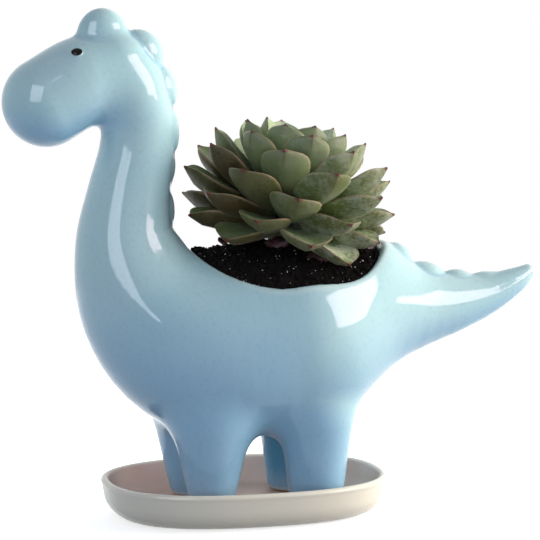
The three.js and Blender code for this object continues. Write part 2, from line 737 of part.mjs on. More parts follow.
// Leaves from the heart outward, each giving way to the stem and to the older leaves above it
function leafSolids() {
  const stem = stemSolid(restGap);
  const inner = [];
  const leaves = [];
  for (let order = 0; order < leafCount; order += 1) {
    const line = placedMidrib(order);
    let leaf = leafSolid(line, 0).subtract(stem);
    for (const neighbour of inner) leaf = leaf.subtract(neighbour);
    leaves.push(largestBody(leaf));
    inner.push(leafSolid(line, leafGap));
  }
  return leaves;
}

const planter = new THREE.Group();
planter.add(piece('saucer', saucerSolid(), creamGlaze));
planter.add(piece('planter_body', potSolid(), blueGlaze));
planter.add(piece('eye_left', eyeBead(1, 0), blackGlaze));
planter.add(piece('eye_right', eyeBead(-1, 0), blackGlaze));
planter.add(piece('drain_screen', screenSolid(), screenPlastic));
planter.add(piece('soil', soilSolid(), darkSoil));
planter.add(piece('stem', stemSolid(0), stemSkin));
leafSolids().forEach((leaf, i) => {
  planter.add(piece(`leaf_${String(i + 1).padStart(2, '0')}`, leaf, leafSkin));
});

export default planter;
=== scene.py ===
import math

import bpy
import numpy as np
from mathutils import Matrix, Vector


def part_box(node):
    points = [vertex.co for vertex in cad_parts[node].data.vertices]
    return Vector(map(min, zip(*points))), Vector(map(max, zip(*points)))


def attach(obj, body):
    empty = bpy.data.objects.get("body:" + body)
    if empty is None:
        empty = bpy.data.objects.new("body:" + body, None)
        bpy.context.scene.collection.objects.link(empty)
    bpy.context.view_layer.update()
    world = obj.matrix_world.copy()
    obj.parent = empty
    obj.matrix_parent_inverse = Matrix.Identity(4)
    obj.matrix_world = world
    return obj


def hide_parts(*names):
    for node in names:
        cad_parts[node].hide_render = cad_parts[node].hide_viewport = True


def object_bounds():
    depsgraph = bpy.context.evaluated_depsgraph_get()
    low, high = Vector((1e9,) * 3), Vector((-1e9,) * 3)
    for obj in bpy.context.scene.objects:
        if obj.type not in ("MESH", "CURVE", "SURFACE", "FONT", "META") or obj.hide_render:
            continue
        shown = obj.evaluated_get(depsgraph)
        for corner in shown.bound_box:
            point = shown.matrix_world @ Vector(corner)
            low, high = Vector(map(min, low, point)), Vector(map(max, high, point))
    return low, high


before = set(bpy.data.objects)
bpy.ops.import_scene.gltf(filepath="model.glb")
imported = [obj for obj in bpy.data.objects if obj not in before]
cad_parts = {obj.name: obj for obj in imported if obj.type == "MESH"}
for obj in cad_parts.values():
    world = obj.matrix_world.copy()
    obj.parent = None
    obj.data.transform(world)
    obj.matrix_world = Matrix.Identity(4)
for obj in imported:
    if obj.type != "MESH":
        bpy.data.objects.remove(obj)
cadBox = [list(corner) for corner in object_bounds()]
rng = np.random.default_rng(11)
mm, metre = 0.001, 1000  # a millimetre in metres, a metre in millimetres
print("frame loaded:", len(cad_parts), "nodes")


# sRGB hex to the linear colour that sockets want
def linear(code):
    parts = [int(code[i:i + 2], 16) / 255 for i in (1, 3, 5)]
    return [c / 12.92 if c <= 0.04045 else ((c + 0.055) / 1.055) ** 2.4 for c in parts] + [1.0]


# one node with its settings and links; a linked node gives its first output
def addNode(tree, kind, settings=None, links=None):
    node = tree.nodes.new("ShaderNode" + kind)
    for name, value in (settings or {}).items():
        setattr(node, name, value)
    for key, value in (links or {}).items():
        value = value.outputs[0] if isinstance(value, bpy.types.Node) else value
        if isinstance(value, bpy.types.NodeSocket):
            tree.links.new(value, node.inputs[key])
        else:
            node.inputs[key].default_value = value
    return node


# a value that fades from low to high while another runs from start to end
def fade(tree, value, start, end, low=0.0, high=1.0):
    return addNode(tree, "MapRange", links={0: value, 1: start, 2: end, 3: low, 4: high})


# noise with patches of a size in millimetres
def noise(tree, place, size, detail, **more):
    return addNode(tree, "TexNoise", links={"Vector": place, "Scale": metre / size, "Detail": detail, **more})


rgba = {"data_type": "RGBA"}  # for a Mix node that mixes colours


# an empty material, its nodes and the coordinates on the piece
def newMaterial(name):
    material = bpy.data.materials.new(name)
    material.use_nodes = True
    material.node_tree.nodes.clear()
    tree = material.node_tree
    return material, tree, addNode(tree, "TexCoord").outputs["Object"]


def addObject(name, data):
    thing = bpy.data.objects.new(name, data)
    bpy.context.scene.collection.objects.link(thing)
    return thing


# a mesh piece from points in millimetres; it rides a body and stands in for solids
def addPiece(name, points, faces, material, body, nodes=(), normals=None, marks=None):
    mesh = bpy.data.meshes.new(name)
    mesh.from_pydata((np.asarray(points) * mm).tolist(), [], [list(map(int, face)) for face in faces])
    for mark, values in (marks or {}).items():
        mesh.attributes.new(mark, "FLOAT", "POINT").data.foreach_set("value", np.asarray(values, np.float32))
    mesh.polygons.foreach_set("use_smooth", np.ones(len(mesh.polygons), bool))
    if normals is not None:
        mesh.normals_split_custom_set_from_vertices(np.asarray(normals).tolist())
    mesh.materials.append(material)
    piece = addObject(name, mesh)
    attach(piece, body)
    if nodes:
        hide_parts(*nodes)


# quads between stacked rings of points, with one face over each end
def ringFaces(rows, count):
    faces = []
    for row in range(rows - 1):
        for k in range(count):
            a, b = row * count + k, row * count + (k + 1) % count
            faces.append((a, b, b + count, a + count))
    return faces + [tuple(range(count - 1, -1, -1)), tuple(range((rows - 1) * count, rows * count))]


def smoothStep(low, high, value):
    share = np.clip((np.asarray(value, float) - low) / (high - low), 0, 1)
    return share * share * (3 - 2 * share)


# Pot: slip-cast animal, sizes in millimetres as in the solids
pot = {
    "netStep": 1.0, "netMargin": 4.5, "boxReach": 22, "boxRoom": 0.02, "rimTurns": 65, "rimReach": 45,
    "spanSteps": 6, "marchSteps": 40, "rimHalvings": 24,
    "footZ": 4.3, "barrelZ": 66.3, "bowlX": 14.3, "bowlFloorZ": 35.7,
    "bowlHalf": (36.3, 29.0), "bowlDraft": 0.16, "lipRound": 3.6, "cornerRound": 20,
    "drainRadius": 4.5, "drainReach": 4, "drainRound": 1.2, "footWear": 1.4,
    "head": [(-72.0, 15.9, 150.9), (-58.5, 15.3, 158.7), (-50.6, 12.3, 162.2)],
    "trunk": [(-45.8, 11.6, 163.0), (-42.4, 13.6, 154.4), (-39.4, 12.8, 143.0), (-39.61, 13.22, 132.57),
              (-42.59, 14.88, 116.08), (-43.6, 18.0, 98.51), (-33.5, 26.2, 76.0), (-13.0, 34.4, 63.7),
              (16.6, 36.6, 66.3)],
    "tail": [(47.5, 14.3, 81.7), (59.7, 15.0, 73.39), (88.31, 8.4, 75.1), (104.91, 4.5, 81.0), (109.7, 2.7, 83.9)],
    "headBlend": 6, "tailBlend": 24, "legBlend": 9,
    "legs": [(-16.05, 8.2, 13.8), (22.65, 9.8, 13.0)], "legSide": 15.5, "footRound": 5, "hipHeight": 30,
    "plateSink": 2.5, "plateBlend": {"head": 2.5, "trunk": 1.1, "tail": 0.9},
    "plates": [  # line, place on it, turn from upright, length, rise, thickness
        ("head", 2, -5, 18.6, 8.2, 13),
        ("trunk", 0.26, 47, 17.86, 5.13, 13), ("trunk", 1.2, 76, 17.11, 3.74, 12.35),
        ("trunk", 2.39, 86, 18.6, 2.61, 11.05), ("trunk", 3.33, 98, 16.37, 1.39, 10.4),
        ("trunk", 4.29, 87, 17.86, 1.91, 11.05),
        ("tail", 0.2, 35, 13.02, 2.61, 11.7), ("tail", 1.22, 17, 15.25, 2.52, 11.7),
        ("tail", 1.7, 7, 12.65, 1.65, 8.45), ("tail", 2.2, -2, 14.32, 0.96, 6.5)],
}


# point of a smooth line through stations (along, half thickness, height)
def linePoint(stations, place):
    stations = np.asarray(stations, float)
    i = min(int(place), len(stations) - 2)
    t = place - i
    p1, p2 = stations[i], stations[i + 1]
    p0 = stations[i - 1] if i > 0 else 2 * p1 - p2
    p3 = stations[i + 2] if i + 2 < len(stations) else 2 * p2 - p1
    d0, d1, d2 = [np.linalg.norm(b - a) ** 0.5 for a, b in ((p0, p1), (p1, p2), (p2, p3))]
    m1 = d1 * ((p1 - p0) / d0 - (p2 - p0) / (d0 + d1) + (p2 - p1) / d1)
    m2 = d1 * ((p2 - p1) / d1 - (p3 - p1) / (d1 + d2) + (p3 - p2) / d2)
    return ((2 * t ** 3 - 3 * t ** 2 + 1) * p1 + (t ** 3 - 2 * t ** 2 + t) * m1
            + (3 * t ** 2 - 2 * t ** 3) * p2 + (t ** 3 - t ** 2) * m2)


spanSteps = pot["spanSteps"]
chains = {part: [linePoint(pot[part], k / spanSteps) for k in range(spanSteps * (len(pot[part]) - 1) + 1)]
          for part in ("head", "trunk", "tail")}


# distance to a cone with round ends; a and b are (along, half thickness, height)
def coneDistance(x, y, z, a, b):
    dx, dr, dz = b[0] - a[0], b[1] - a[1], b[2] - a[2]
    long2 = dx * dx + dz * dz
    px, pz = x - a[0], z - a[2]
    along = px * dx + pz * dz
    away = np.sqrt(np.maximum(px * px + y * y + pz * pz - along * along / long2, 1e-9))
    t = np.clip((along + away * dr * math.sqrt(long2 / (long2 - dr * dr))) / long2, 0, 1)
    return np.sqrt((px - t * dx) ** 2 + y * y + (pz - t * dz) ** 2) - a[1] - t * dr


def softJoin(a, b, blend):
    overlap = np.maximum(blend - np.abs(a - b), 0) / blend
    return np.minimum(a, b) - overlap * overlap * blend / 4


def softCut(a, b, blend):
    return -softJoin(-a, -b, blend)


# distance to the plain skin of the animal, without plates and bowl
def skinDistance(p):
    x, y, z = p[:, 0], p[:, 1], p[:, 2]
    parts = {}
    for part, chain in chains.items():
        parts[part] = coneDistance(x, y, z, chain[0], chain[1])
        for a, b in zip(chain[1:-1], chain[2:]):
            parts[part] = np.minimum(parts[part], coneDistance(x, y, z, a, b))
    skin = softJoin(parts["trunk"], parts["head"], pot["headBlend"])
    skin = softJoin(skin, parts["tail"], pot["tailBlend"])
    for side in (-1, 1):
        for legX, foot, hip in pot["legs"]:
            low = (pot["footZ"] + pot["footRound"], foot, 0)
            high = (pot["footZ"] + pot["hipHeight"], hip, 0)
            leg = coneDistance(z, y - side * pot["legSide"], x - legX, low, high)
            skin = softJoin(skin, leg, pot["legBlend"])
    return skin


# point of the skin straight out from a point inside
def skinPoint(inside, out):
    spot = np.array([inside], float)
    for _ in range(pot["marchSteps"]):
        spot = spot - skinDistance(spot)[:, None] * out
    return spot[0]


plateSeats = []
for part, station, turn, length, rise, thickness in pot["plates"]:
    lean = math.radians(turn)
    out = np.array([math.sin(lean), 0, math.cos(lean)])
    along, _, high = linePoint(pot[part], station)
    seat = skinPoint((along, 0, high), out) - pot["plateSink"] * out
    half = np.array([length / 2, thickness / 2, rise + pot["plateSink"]])
    plateSeats.append((seat, np.array([out[2], 0, -out[0]]), out, half, pot["plateBlend"][part]))


def plateDistance(p, plate):
    seat, along, out, half, _ = plate
    local = p - seat
    local = np.stack([local @ along, local[:, 1], local @ out], 1)
    k0 = np.linalg.norm(local / half, axis=1)
    k1 = np.linalg.norm(local / half ** 2, axis=1) + 1e-9
    return k0 * (k0 - 1) / k1


# heights where the oval of the mouth meets the skin, all the way round
mouthTurns = np.linspace(0, 2 * math.pi, pot["rimTurns"])
mouthX = pot["bowlX"] + pot["bowlHalf"][0] * np.cos(mouthTurns)
mouthY = pot["bowlHalf"][1] * np.sin(mouthTurns)
lowZ = np.full(pot["rimTurns"], pot["barrelZ"])
highZ = lowZ + pot["rimReach"]
for _ in range(pot["rimHalvings"]):
    middleZ = (lowZ + highZ) / 2
    isIn = skinDistance(np.stack([mouthX, mouthY, middleZ], 1)) < 0
    lowZ, highZ = np.where(isIn, middleZ, lowZ), np.where(isIn, highZ, middleZ)
rimZ = lowZ


def rimHeight(turn):
    return np.interp(np.mod(turn, 2 * math.pi), mouthTurns, rimZ)


# distance to the hollow of the bowl, negative in the hollow
def bowlDistance(p):
    local = (p[:, :2] - (pot["bowlX"], 0)) / pot["bowlHalf"]
    k0 = np.linalg.norm(local, axis=1) + 1e-9
    k1 = np.linalg.norm(local / pot["bowlHalf"], axis=1) + 1e-9
    turn = np.arctan2(local[:, 1], local[:, 0])
    wall = k0 * (k0 - 1) / k1 + pot["bowlDraft"] * np.maximum(rimHeight(turn) - p[:, 2], 0)
    return softCut(wall, pot["bowlFloorZ"] - p[:, 2], pot["cornerRound"])


def potDistance(p):
    body = skinDistance(p)
    for plate in plateSeats:
        body = softJoin(body, plateDistance(p, plate), plate[-1])
    body = softCut(body, pot["footZ"] - p[:, 2], pot["footWear"])  # flat, slightly worn feet
    body = softCut(body, -bowlDistance(p), pot["lipRound"])
    drain = np.hypot(p[:, 0] - pot["bowlX"], p[:, 1]) - pot["drainRadius"]
    drain = np.maximum(drain, p[:, 2] - pot["bowlFloorZ"] - pot["drainReach"])
    return softCut(body, -drain, pot["drainRound"])


def slopeOf(field, p, step=0.05):
    corners = np.array([(1, -1, -1), (-1, -1, 1), (-1, 1, -1), (1, 1, 1)], float)
    slope = sum(field(p + step * c)[:, None] * c for c in corners)
    return slope / np.linalg.norm(slope, axis=1, keepdims=True)


# net of quads over the zero level of a field, worked out only near the skin
def skinNet(field, low, high, step, block=6, nearShare=0.95):
    low = np.asarray(low, float)
    blocks = [math.ceil((b - a) / step / block) for a, b in zip(low, high)]
    counts = [n * block for n in blocks]
    corner = np.stack(np.meshgrid(*[np.arange(n) for n in blocks], indexing="ij"), -1).reshape(-1, 3)
    corner = low + corner * step * block
    middle = field(corner + step * (block - 1) / 2)
    near = np.abs(middle) < nearShare * step * block
    inner = np.stack(np.meshgrid(*[np.arange(block)] * 3, indexing="ij"), -1).reshape(-1, 3) * step
    fine = field((corner[near][:, None] + inner).reshape(-1, 3)).reshape(-1, block, block, block)
    values = np.empty(counts)
    byBlock = values.reshape(blocks[0], block, blocks[1], block, blocks[2], block).transpose(0, 2, 4, 1, 3, 5)
    byBlock[...] = middle.reshape(blocks)[..., None, None, None]
    byBlock[near.reshape(blocks)] = fine
    strides = np.array([counts[1] * counts[2], counts[2], 1])
    sums = np.zeros((values.size, 3))
    hits = np.zeros(values.size)
    quads = []
    for axis in range(3):
        first = np.take(values, np.arange(counts[axis] - 1), axis)
        second = np.take(values, np.arange(1, counts[axis]), axis)
        start = np.argwhere((first < 0) != (second < 0))
        a, b = first[tuple(start.T)], second[tuple(start.T)]
        spot = start.astype(float)
        spot[:, axis] += a / (a - b)
        here = start @ strides
        u, v = strides[(axis + 1) % 3], strides[(axis + 2) % 3]
        quad = np.stack([here - u - v, here - v, here, here - u], 1)
        for k in range(4):
            np.add.at(sums, quad[:, k], low + spot * step)
            np.add.at(hits, quad[:, k], 1)
        quads.append(np.where((a < 0)[:, None], quad, quad[:, ::-1]))
    used, faces = np.unique(np.concatenate(quads), return_inverse=True)
    points = sums[used] / hits[used, None]
    for _ in range(2):
        points = points - field(points)[:, None] * slopeOf(field, points)
    return points, faces.reshape(-1, 4)


potLow, potHigh = [np.array(corner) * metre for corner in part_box("planter_body")]
netRoom = pot["netMargin"]
potPoints, potFaces = skinNet(potDistance, potLow - netRoom, potHigh + netRoom, pot["netStep"])
potNormals = slopeOf(potDistance, potPoints)

# Pale blue gloss glaze over slip-cast stoneware, dipped and fired: a clear glassy coat with sharp
# reflections, a little paler on edges, where it runs thin and as a painted highlight along the lip and plates,
# and deeper where it pools in hollows. A bluer painted shade lies on the undersides and the lower body, and a
# darker, greener painted shade on the inner faces of the hind legs.
# Its specks are finer than the size here and are drawn coarse enough to show. Pairs are the ends of a fade,
# in millimetres or as parts of a normal.
glaze = {
    "colour": "#b8dce0", "thin": "#c9e5e6", "pooledAndShade": "#8ab9da", "legShade": "#489bbd", "edge": "#dff0ee",
    "speck": "#d3dfe6", "biscuit": "#e9dfce", "roughness": 0.045, "dryRoughness": 0.75, "ior": 1.56,
    "cloudSize": 34, "speckSize": 1.5, "peelSize": 5.5, "peelDepth": 0.03,
    "underShare": 0.75, "underFace": (0.25, -0.75), "underTop": (170, 140),
    "sideShadeShare": 0.78, "sideShadeTop": (104, 40), "sideShadeEdge": 34, "sideShadeSpread": 26, "sideShadeSpreadTop": (55, 25), "sideShadeFade": 34,
    "legShadeShare": 0.8, "legShadeFace": (-0.1, 0.6), "legShadeTop": (46, 32), "legShadeFoot": (1, 11), "legShadeFrom": (0, 14),
    "dryFoot": (0.9, 0.3), "curveStep": 0.8,
}
potX, potZ = potPoints[:, 0], potPoints[:, 2]
aboveFoot = potZ - pot["footZ"]
# painted shade, bluer on faces that look down, where some glaze has gathered too,
# and on the lower chest, belly and legs, fading out toward the tail
potPoolAndShade = glaze["underShare"] * smoothStep(*glaze["underFace"], potNormals[:, 2])
potPoolAndShade = potPoolAndShade * smoothStep(*glaze["underTop"], potZ)
sideShadeEdge = glaze["sideShadeEdge"] + glaze["sideShadeSpread"] * smoothStep(*glaze["sideShadeSpreadTop"], potZ)
potSideShade = glaze["sideShadeShare"] * smoothStep(*glaze["sideShadeTop"], potZ) * smoothStep(0, glaze["sideShadeFade"], sideShadeEdge - potX)
potPoolAndShade = np.maximum(potPoolAndShade, potSideShade)
# painted shade, darker and greener, on the inner faces of the hind legs where they face each other
potLegShade = glaze["legShadeShare"] * smoothStep(*glaze["legShadeFace"], -potNormals[:, 1] * np.sign(potPoints[:, 1]))
potLegShade = potLegShade * smoothStep(*glaze["legShadeTop"], potZ)
potLegShade = potLegShade * smoothStep(*glaze["legShadeFoot"], aboveFoot) * smoothStep(*glaze["legShadeFrom"], potX)
potDry = smoothStep(*glaze["dryFoot"], aboveFoot)
# how the skin curves, above zero on edges and below in hollows
curveSteps = [sign * glaze["curveStep"] * axis for axis in np.eye(3) for sign in (-1, 1)]
potCurve = sum(potDistance(potPoints + step) for step in curveSteps) / glaze["curveStep"] ** 2
longestIn = pot["boxReach"] - pot["boxRoom"]
for axis in range(3):  # the finer skin stays inside the solid's box
    for bound, sign in ((potLow, -1), (potHigh, 1)):
        bend = bound[axis] - sign * pot["boxReach"]
        over = np.maximum((potPoints[:, axis] - bend) * sign, 0)
        if over.max() > longestIn:
            potPoints[:, axis] -= sign * over * (1 - longestIn / over.max())
print("pot skin:", len(potPoints), "points")

blueGlaze, tree, place = newMaterial("pale_blue_gloss_glaze")
cloud = noise(tree, place, glaze["cloudSize"], 2.0)
cloudShare = fade(tree, cloud, 0.38, 0.66, high=0.55)
colour = addNode(tree, "Mix", rgba, {0: cloudShare, 6: linear(glaze["colour"]), 7: linear(glaze["thin"])})
edge = addNode(tree, "Attribute", {"attribute_name": "glazeEdge"})
hollowPoolAndShade = fade(tree, edge.outputs["Fac"], -0.02, -0.3, high=0.5)
# the pooled colour also carries the painted shade of the undersides and the lower body
poolAndShadeMark = addNode(tree, "Attribute", {"attribute_name": "glazePoolAndShade"})
hollowPoolAndShade = addNode(tree, "Math", {"operation": "MAXIMUM"}, {0: hollowPoolAndShade, 1: poolAndShadeMark.outputs["Fac"]})
colour = addNode(tree, "Mix", rgba, {0: hollowPoolAndShade, 6: colour.outputs[2], 7: linear(glaze["pooledAndShade"])})
# painted shade between the hind legs
legShade = addNode(tree, "Attribute", {"attribute_name": "glazeLegShade"}).outputs["Fac"]
colour = addNode(tree, "Mix", rgba, {0: legShade, 6: colour.outputs[2], 7: linear(glaze["legShade"])})
# paler on edges: glaze running thin there, and a painted highlight along the lip and plate edges
thin = fade(tree, edge.outputs["Fac"], 0.2, 0.6, high=0.7)
colour = addNode(tree, "Mix", rgba, {0: thin, 6: colour.outputs[2], 7: linear(glaze["edge"])})
speck = noise(tree, place, glaze["speckSize"], 1.0)
speckShare = fade(tree, speck, 0.52, 0.78, high=0.26)
colour = addNode(tree, "Mix", {**rgba, "blend_type": "MULTIPLY"}, {
    0: speckShare, 6: colour.outputs[2], 7: linear(glaze["speck"])})
gloss = fade(tree, cloud, 0.3, 0.7, glaze["roughness"] - 0.02, glaze["roughness"] + 0.03)
# feet wiped clean of glaze before firing, so that they don't stick to the kiln shelf
dry = addNode(tree, "Attribute", {"attribute_name": "dryFoot"}).outputs["Fac"]
colour = addNode(tree, "Mix", rgba, {0: dry, 6: colour.outputs[2], 7: linear(glaze["biscuit"])})
gloss = addNode(tree, "Mix", {"data_type": "FLOAT"}, {0: dry, 2: gloss, 3: glaze["dryRoughness"]})
peel = noise(tree, place, glaze["peelSize"], 0.0)
wave = addNode(tree, "Bump", links={"Height": peel, "Strength": 0.25, "Distance": glaze["peelDepth"] * mm})
shader = addNode(tree, "BsdfPrincipled", links={
    "Base Color": colour.outputs[2], "Roughness": gloss, "IOR": glaze["ior"], "Specular IOR Level": 0.3,
    "Normal": wave})
addNode(tree, "OutputMaterial", links={"Surface": shader})
addPiece("pot_skin", potPoints, potFaces, blueGlaze, "pot", ["planter_body"], potNormals,
         {"glazeEdge": potCurve, "glazePoolAndShade": potPoolAndShade, "glazeLegShade": potLegShade, "dryFoot": potDry})

# Eyes: thick beads of black gloss glaze with a thin pale ring round the foot
eye = {"length": 4.4, "height": 3.8, "depth": 2.4, "angle": 50, "share": 0.64, "rim": 0.42,
       "black": "#0b0a0c", "pale": "#c9dfe3", "roughness": 0.06, "ior": 1.52, "grainSize": 1.2,
       "rows": 25, "turns": 48}
blackGlaze, tree, place = newMaterial("black_bead_glaze")
foot = addNode(tree, "Attribute", {"attribute_name": "beadHeight"})
grain = noise(tree, place, eye["grainSize"], 1.0)
uneven = addNode(tree, "Math", {"operation": "MULTIPLY_ADD"}, {0: grain, 1: 0.12, 2: foot.outputs["Fac"]})
share = fade(tree, uneven, eye["rim"], eye["rim"] + 0.12)
colour = addNode(tree, "Mix", rgba, {0: share, 6: linear(eye["pale"]), 7: linear(eye["black"])})
shader = addNode(tree, "BsdfPrincipled", links={
    "Base Color": colour.outputs[2], "Roughness": eye["roughness"], "IOR": eye["ior"], "Specular IOR Level": 0.1})
addNode(tree, "OutputMaterial", links={"Surface": shader})
for name, side in (("eye_left", 1), ("eye_right", -1)):
    angle = math.radians(eye["angle"])
    out = np.array([0, side * math.cos(angle), math.sin(angle)])
    along, _, high = linePoint(pot["head"], eye["share"])
    spot = skinPoint((along, 0, high), out)
    outward = slopeOf(skinDistance, spot[None])[0]
    level = np.cross((0, 0, 1), outward)
    level /= np.linalg.norm(level)
    upward = np.cross(outward, level)
    rows = []
    for latitude in np.radians(np.linspace(-88, 88, eye["rows"])):
        turns = np.linspace(0, 2 * math.pi, eye["turns"], endpoint=False)
        ring = np.outer(np.cos(turns), level) * eye["length"] / 2
        ring = ring + np.outer(np.sin(turns), upward) * eye["height"] / 2
        rows.append(spot + ring * math.cos(latitude) + outward * math.sin(latitude) * eye["depth"] / 2)
    beadPoints = np.concatenate(rows)
    beadHeight = (beadPoints - spot) @ outward / (eye["depth"] / 2)
    addPiece(name + "_bead", beadPoints, ringFaces(eye["rows"], eye["turns"]), blackGlaze, "pot", [name],
             None, {"beadHeight": beadHeight})
print("eyes done")

# Saucer: pressed oval dish, cream outside, blush inside
saucer = {
    "height": 13.6, "floor": 4, "wall": 2.8, "flare": 2.2, "baseRound": 7, "halfLength": 46.95, "halfWidth": 32.0,
    "power": 2.45, "turns": 160, "wallTop": 11.6,
    "cream": "#f6ecd8", "blush": "#e0b7a5", "rimCream": "#f6eee0", "speck": "#b3a898",
    "roughness": 0.22, "insideRoughness": 0.45, "ior": 1.5,
    "cloudSize": 26, "speckSize": 0.9, "peelSize": 6, "peelDepth": 0.04,
}


# the wall leans out with height
def flareAt(high):
    return saucer["flare"] * high / saucer["height"]


# outline of the wall from the underside over the rim to the floor: growth of the oval, height, share of blush
profile = [(-saucer["halfWidth"] * share, 0.0, 0.0) for share in (0.97, 0.6, 0.3)]
for angle in np.radians(np.linspace(-90, 0, 12)):
    high = saucer["baseRound"] * (1 + math.sin(angle))
    profile.append((saucer["wall"] + flareAt(high) - saucer["baseRound"] * (1 - math.cos(angle)), high, 0.0))
for high in np.linspace(saucer["baseRound"] + 0.8, saucer["wallTop"], 5):
    profile.append((saucer["wall"] + flareAt(high), high, 0.0))
rimHalf = saucer["wall"] / 2
for angle in np.radians(np.linspace(0, 180, 17)):
    high = saucer["height"] - rimHalf * (1 - math.sin(angle))
    inside = smoothStep(95, 150, math.degrees(angle))
    profile.append((flareAt(saucer["height"]) + rimHalf * (1 + math.cos(angle)), high, inside))
insideRound = saucer["baseRound"] - rimHalf
for angle in np.radians(np.linspace(0, 90, 12)):
    high = saucer["floor"] + insideRound * (1 - math.sin(angle))
    profile.append((flareAt(high) - insideRound * (1 - math.cos(angle)), high, 1.0))
for share in (0.25, 0.55, 0.97):
    profile.append((-saucer["halfWidth"] * share, saucer["floor"], 1.0))
turns = np.linspace(0, 2 * math.pi, saucer["turns"], endpoint=False)
ovalX, ovalY = [np.sign(value) * np.abs(value) ** (2 / saucer["power"]) for value in (np.cos(turns), np.sin(turns))]
dishPoints = np.concatenate([np.stack([
    (saucer["halfLength"] + grow) * ovalX,
    (saucer["halfWidth"] + grow) * ovalY,
    np.full(len(turns), high)], 1) for grow, high, _ in profile])
dishInside = np.repeat([inside for _, _, inside in profile], len(turns))

# Cream gloss glaze outside and a blush glaze poured inside: satin-bright, faintly speckled clay below
creamGlaze, tree, place = newMaterial("cream_and_blush_glaze")
cloud = noise(tree, place, saucer["cloudSize"], 3.0)
inside = addNode(tree, "Attribute", {"attribute_name": "pouredInside"})
colour = addNode(tree, "Mix", rgba, {
    0: inside.outputs["Fac"], 6: linear(saucer["cream"]), 7: linear(saucer["blush"])})
cloudShare = fade(tree, cloud, 0.4, 0.7, high=0.35)
colour = addNode(tree, "Mix", rgba, {0: cloudShare, 6: colour.outputs[2], 7: linear(saucer["rimCream"])})
speck = noise(tree, place, saucer["speckSize"], 1.0)
speckShare = fade(tree, speck, 0.7, 0.8, high=0.15)
colour = addNode(tree, "Mix", rgba, {0: speckShare, 6: colour.outputs[2], 7: linear(saucer["speck"])})
peel = noise(tree, place, saucer["peelSize"], 0.0)
wave = addNode(tree, "Bump", links={"Height": peel, "Strength": 0.3, "Distance": saucer["peelDepth"] * mm})
gloss = fade(tree, inside.outputs["Fac"], 0.0, 1.0, saucer["roughness"], saucer["insideRoughness"])
shader = addNode(tree, "BsdfPrincipled", links={
    "Base Color": colour.outputs[2], "Roughness": gloss, "IOR": saucer["ior"], "Specular IOR Level": 0.32,
    "Normal": wave})
addNode(tree, "OutputMaterial", links={"Surface": shader})
addPiece("saucer_dish", dishPoints, ringFaces(len(profile), len(turns)), creamGlaze, "saucer", ["saucer"],
         None, {"pouredInside": dishInside})
print("saucer done")

# Soil: peat mix pressed into the bowl, with crumbs and pale grit on top
soil = {
    "gap": 0.3, "drop": 2.6, "swell": 9, "mound": 13, "settle": 0.5, "footRound": 12, "turns": 160, "rows": 44,
    "waves": 26, "waveLength": (3.2, 13), "lumpDepth": 0.54,
    "crumbs": 1500, "crumbSize": (0.7, 2.3), "grit": 330, "gritSize": (0.25, 0.55),
    "perlite": 16, "perliteSize": (0.7, 1.2),
    "grainZone": (0.025, 0.9), "grainStretch": (0.7, 1.3), "grainBend": (0.75, 1.2),
    "fibreSize": 2.4, "fibreDepth": 0.8, "dustSize": 1.3,
    "dark": "#070605", "brown": "#140e0b", "gritColour": "#b9b4ab", "perliteColour": "#e4e0d8", "dust": "#6f665c",
}
rimLow = rimZ.min()
soilMiddle = rimLow - soil["drop"] + soil["mound"]
waves = [(rng.uniform(0, 2 * math.pi), 2 * math.pi / rng.uniform(*soil["waveLength"]), rng.uniform(0, 2 * math.pi))
         for _ in range(soil["waves"])]  # heading, waves per length, phase


def soilLumps(x, y):
    return sum(np.cos(k * (x * math.cos(a) + y * math.sin(a)) + f) / k for a, k, f in waves) / 4


# place on the soil at a turn and a share from the edge (0) to the middle (1)
def soilPlace(turn, share):
    turn, share = np.broadcast_arrays(np.asarray(turn, float), np.asarray(share, float))
    edgeZ = np.minimum(rimHeight(turn), rimLow + soil["swell"]) - soil["drop"]
    inset = soil["gap"] + pot["bowlDraft"] * (rimHeight(turn) - edgeZ)
    inset = inset + (pot["bowlHalf"][1] - inset) * share
    spread = (pot["bowlHalf"][0] - pot["bowlHalf"][1]) * share
    x = pot["bowlX"] + (pot["bowlHalf"][0] - inset - spread * share) * np.cos(turn)
    y = (pot["bowlHalf"][1] - inset) * np.sin(turn)
    z = edgeZ + (soilMiddle - edgeZ) * share * (2 - share)
    z = z + soil["lumpDepth"] * soilLumps(x, y) * smoothStep(0, 0.12, share) - soil["settle"]
    return np.stack([x, y, z], -1)


soilTurns = np.linspace(0, 2 * math.pi, soil["turns"], endpoint=False)


# how far the wall of the plug stands in from the mouth at a height
def plugInset(high):
    return soil["gap"] + pot["bowlDraft"] * (rimHeight(soilTurns) - high)


soilFloor = pot["bowlFloorZ"] + soil["gap"]
edgeZ = np.minimum(rimHeight(soilTurns), rimLow + soil["swell"]) - soil["drop"] - soil["settle"]
footRound = soil["footRound"]
wallFoot = soilFloor + footRound
level = np.ones(soil["turns"])
rings = []  # inset and height
for share in (0.8, 0.6, 0.3, 0.0):
    rings.append(((plugInset(wallFoot) + footRound) * (1 - share) + pot["bowlHalf"][1] * share, level * soilFloor))
for angle in np.radians((68, 45, 22, 0)):
    high = wallFoot - footRound * math.sin(angle)
    rings.append((plugInset(wallFoot) + footRound * (1 - math.cos(angle)), level * high))
for share in (0.25, 0.5, 0.75, 0.95):
    high = wallFoot + (edgeZ - wallFoot) * share
    rings.append((plugInset(high), high))
soilRings = [np.stack([
    pot["bowlX"] + (pot["bowlHalf"][0] - inset) * np.cos(soilTurns),
    (pot["bowlHalf"][1] - inset) * np.sin(soilTurns), high], 1) for inset, high in rings]
for share in np.linspace(0, 0.98, soil["rows"]):
    soilRings.append(soilPlace(soilTurns, share))

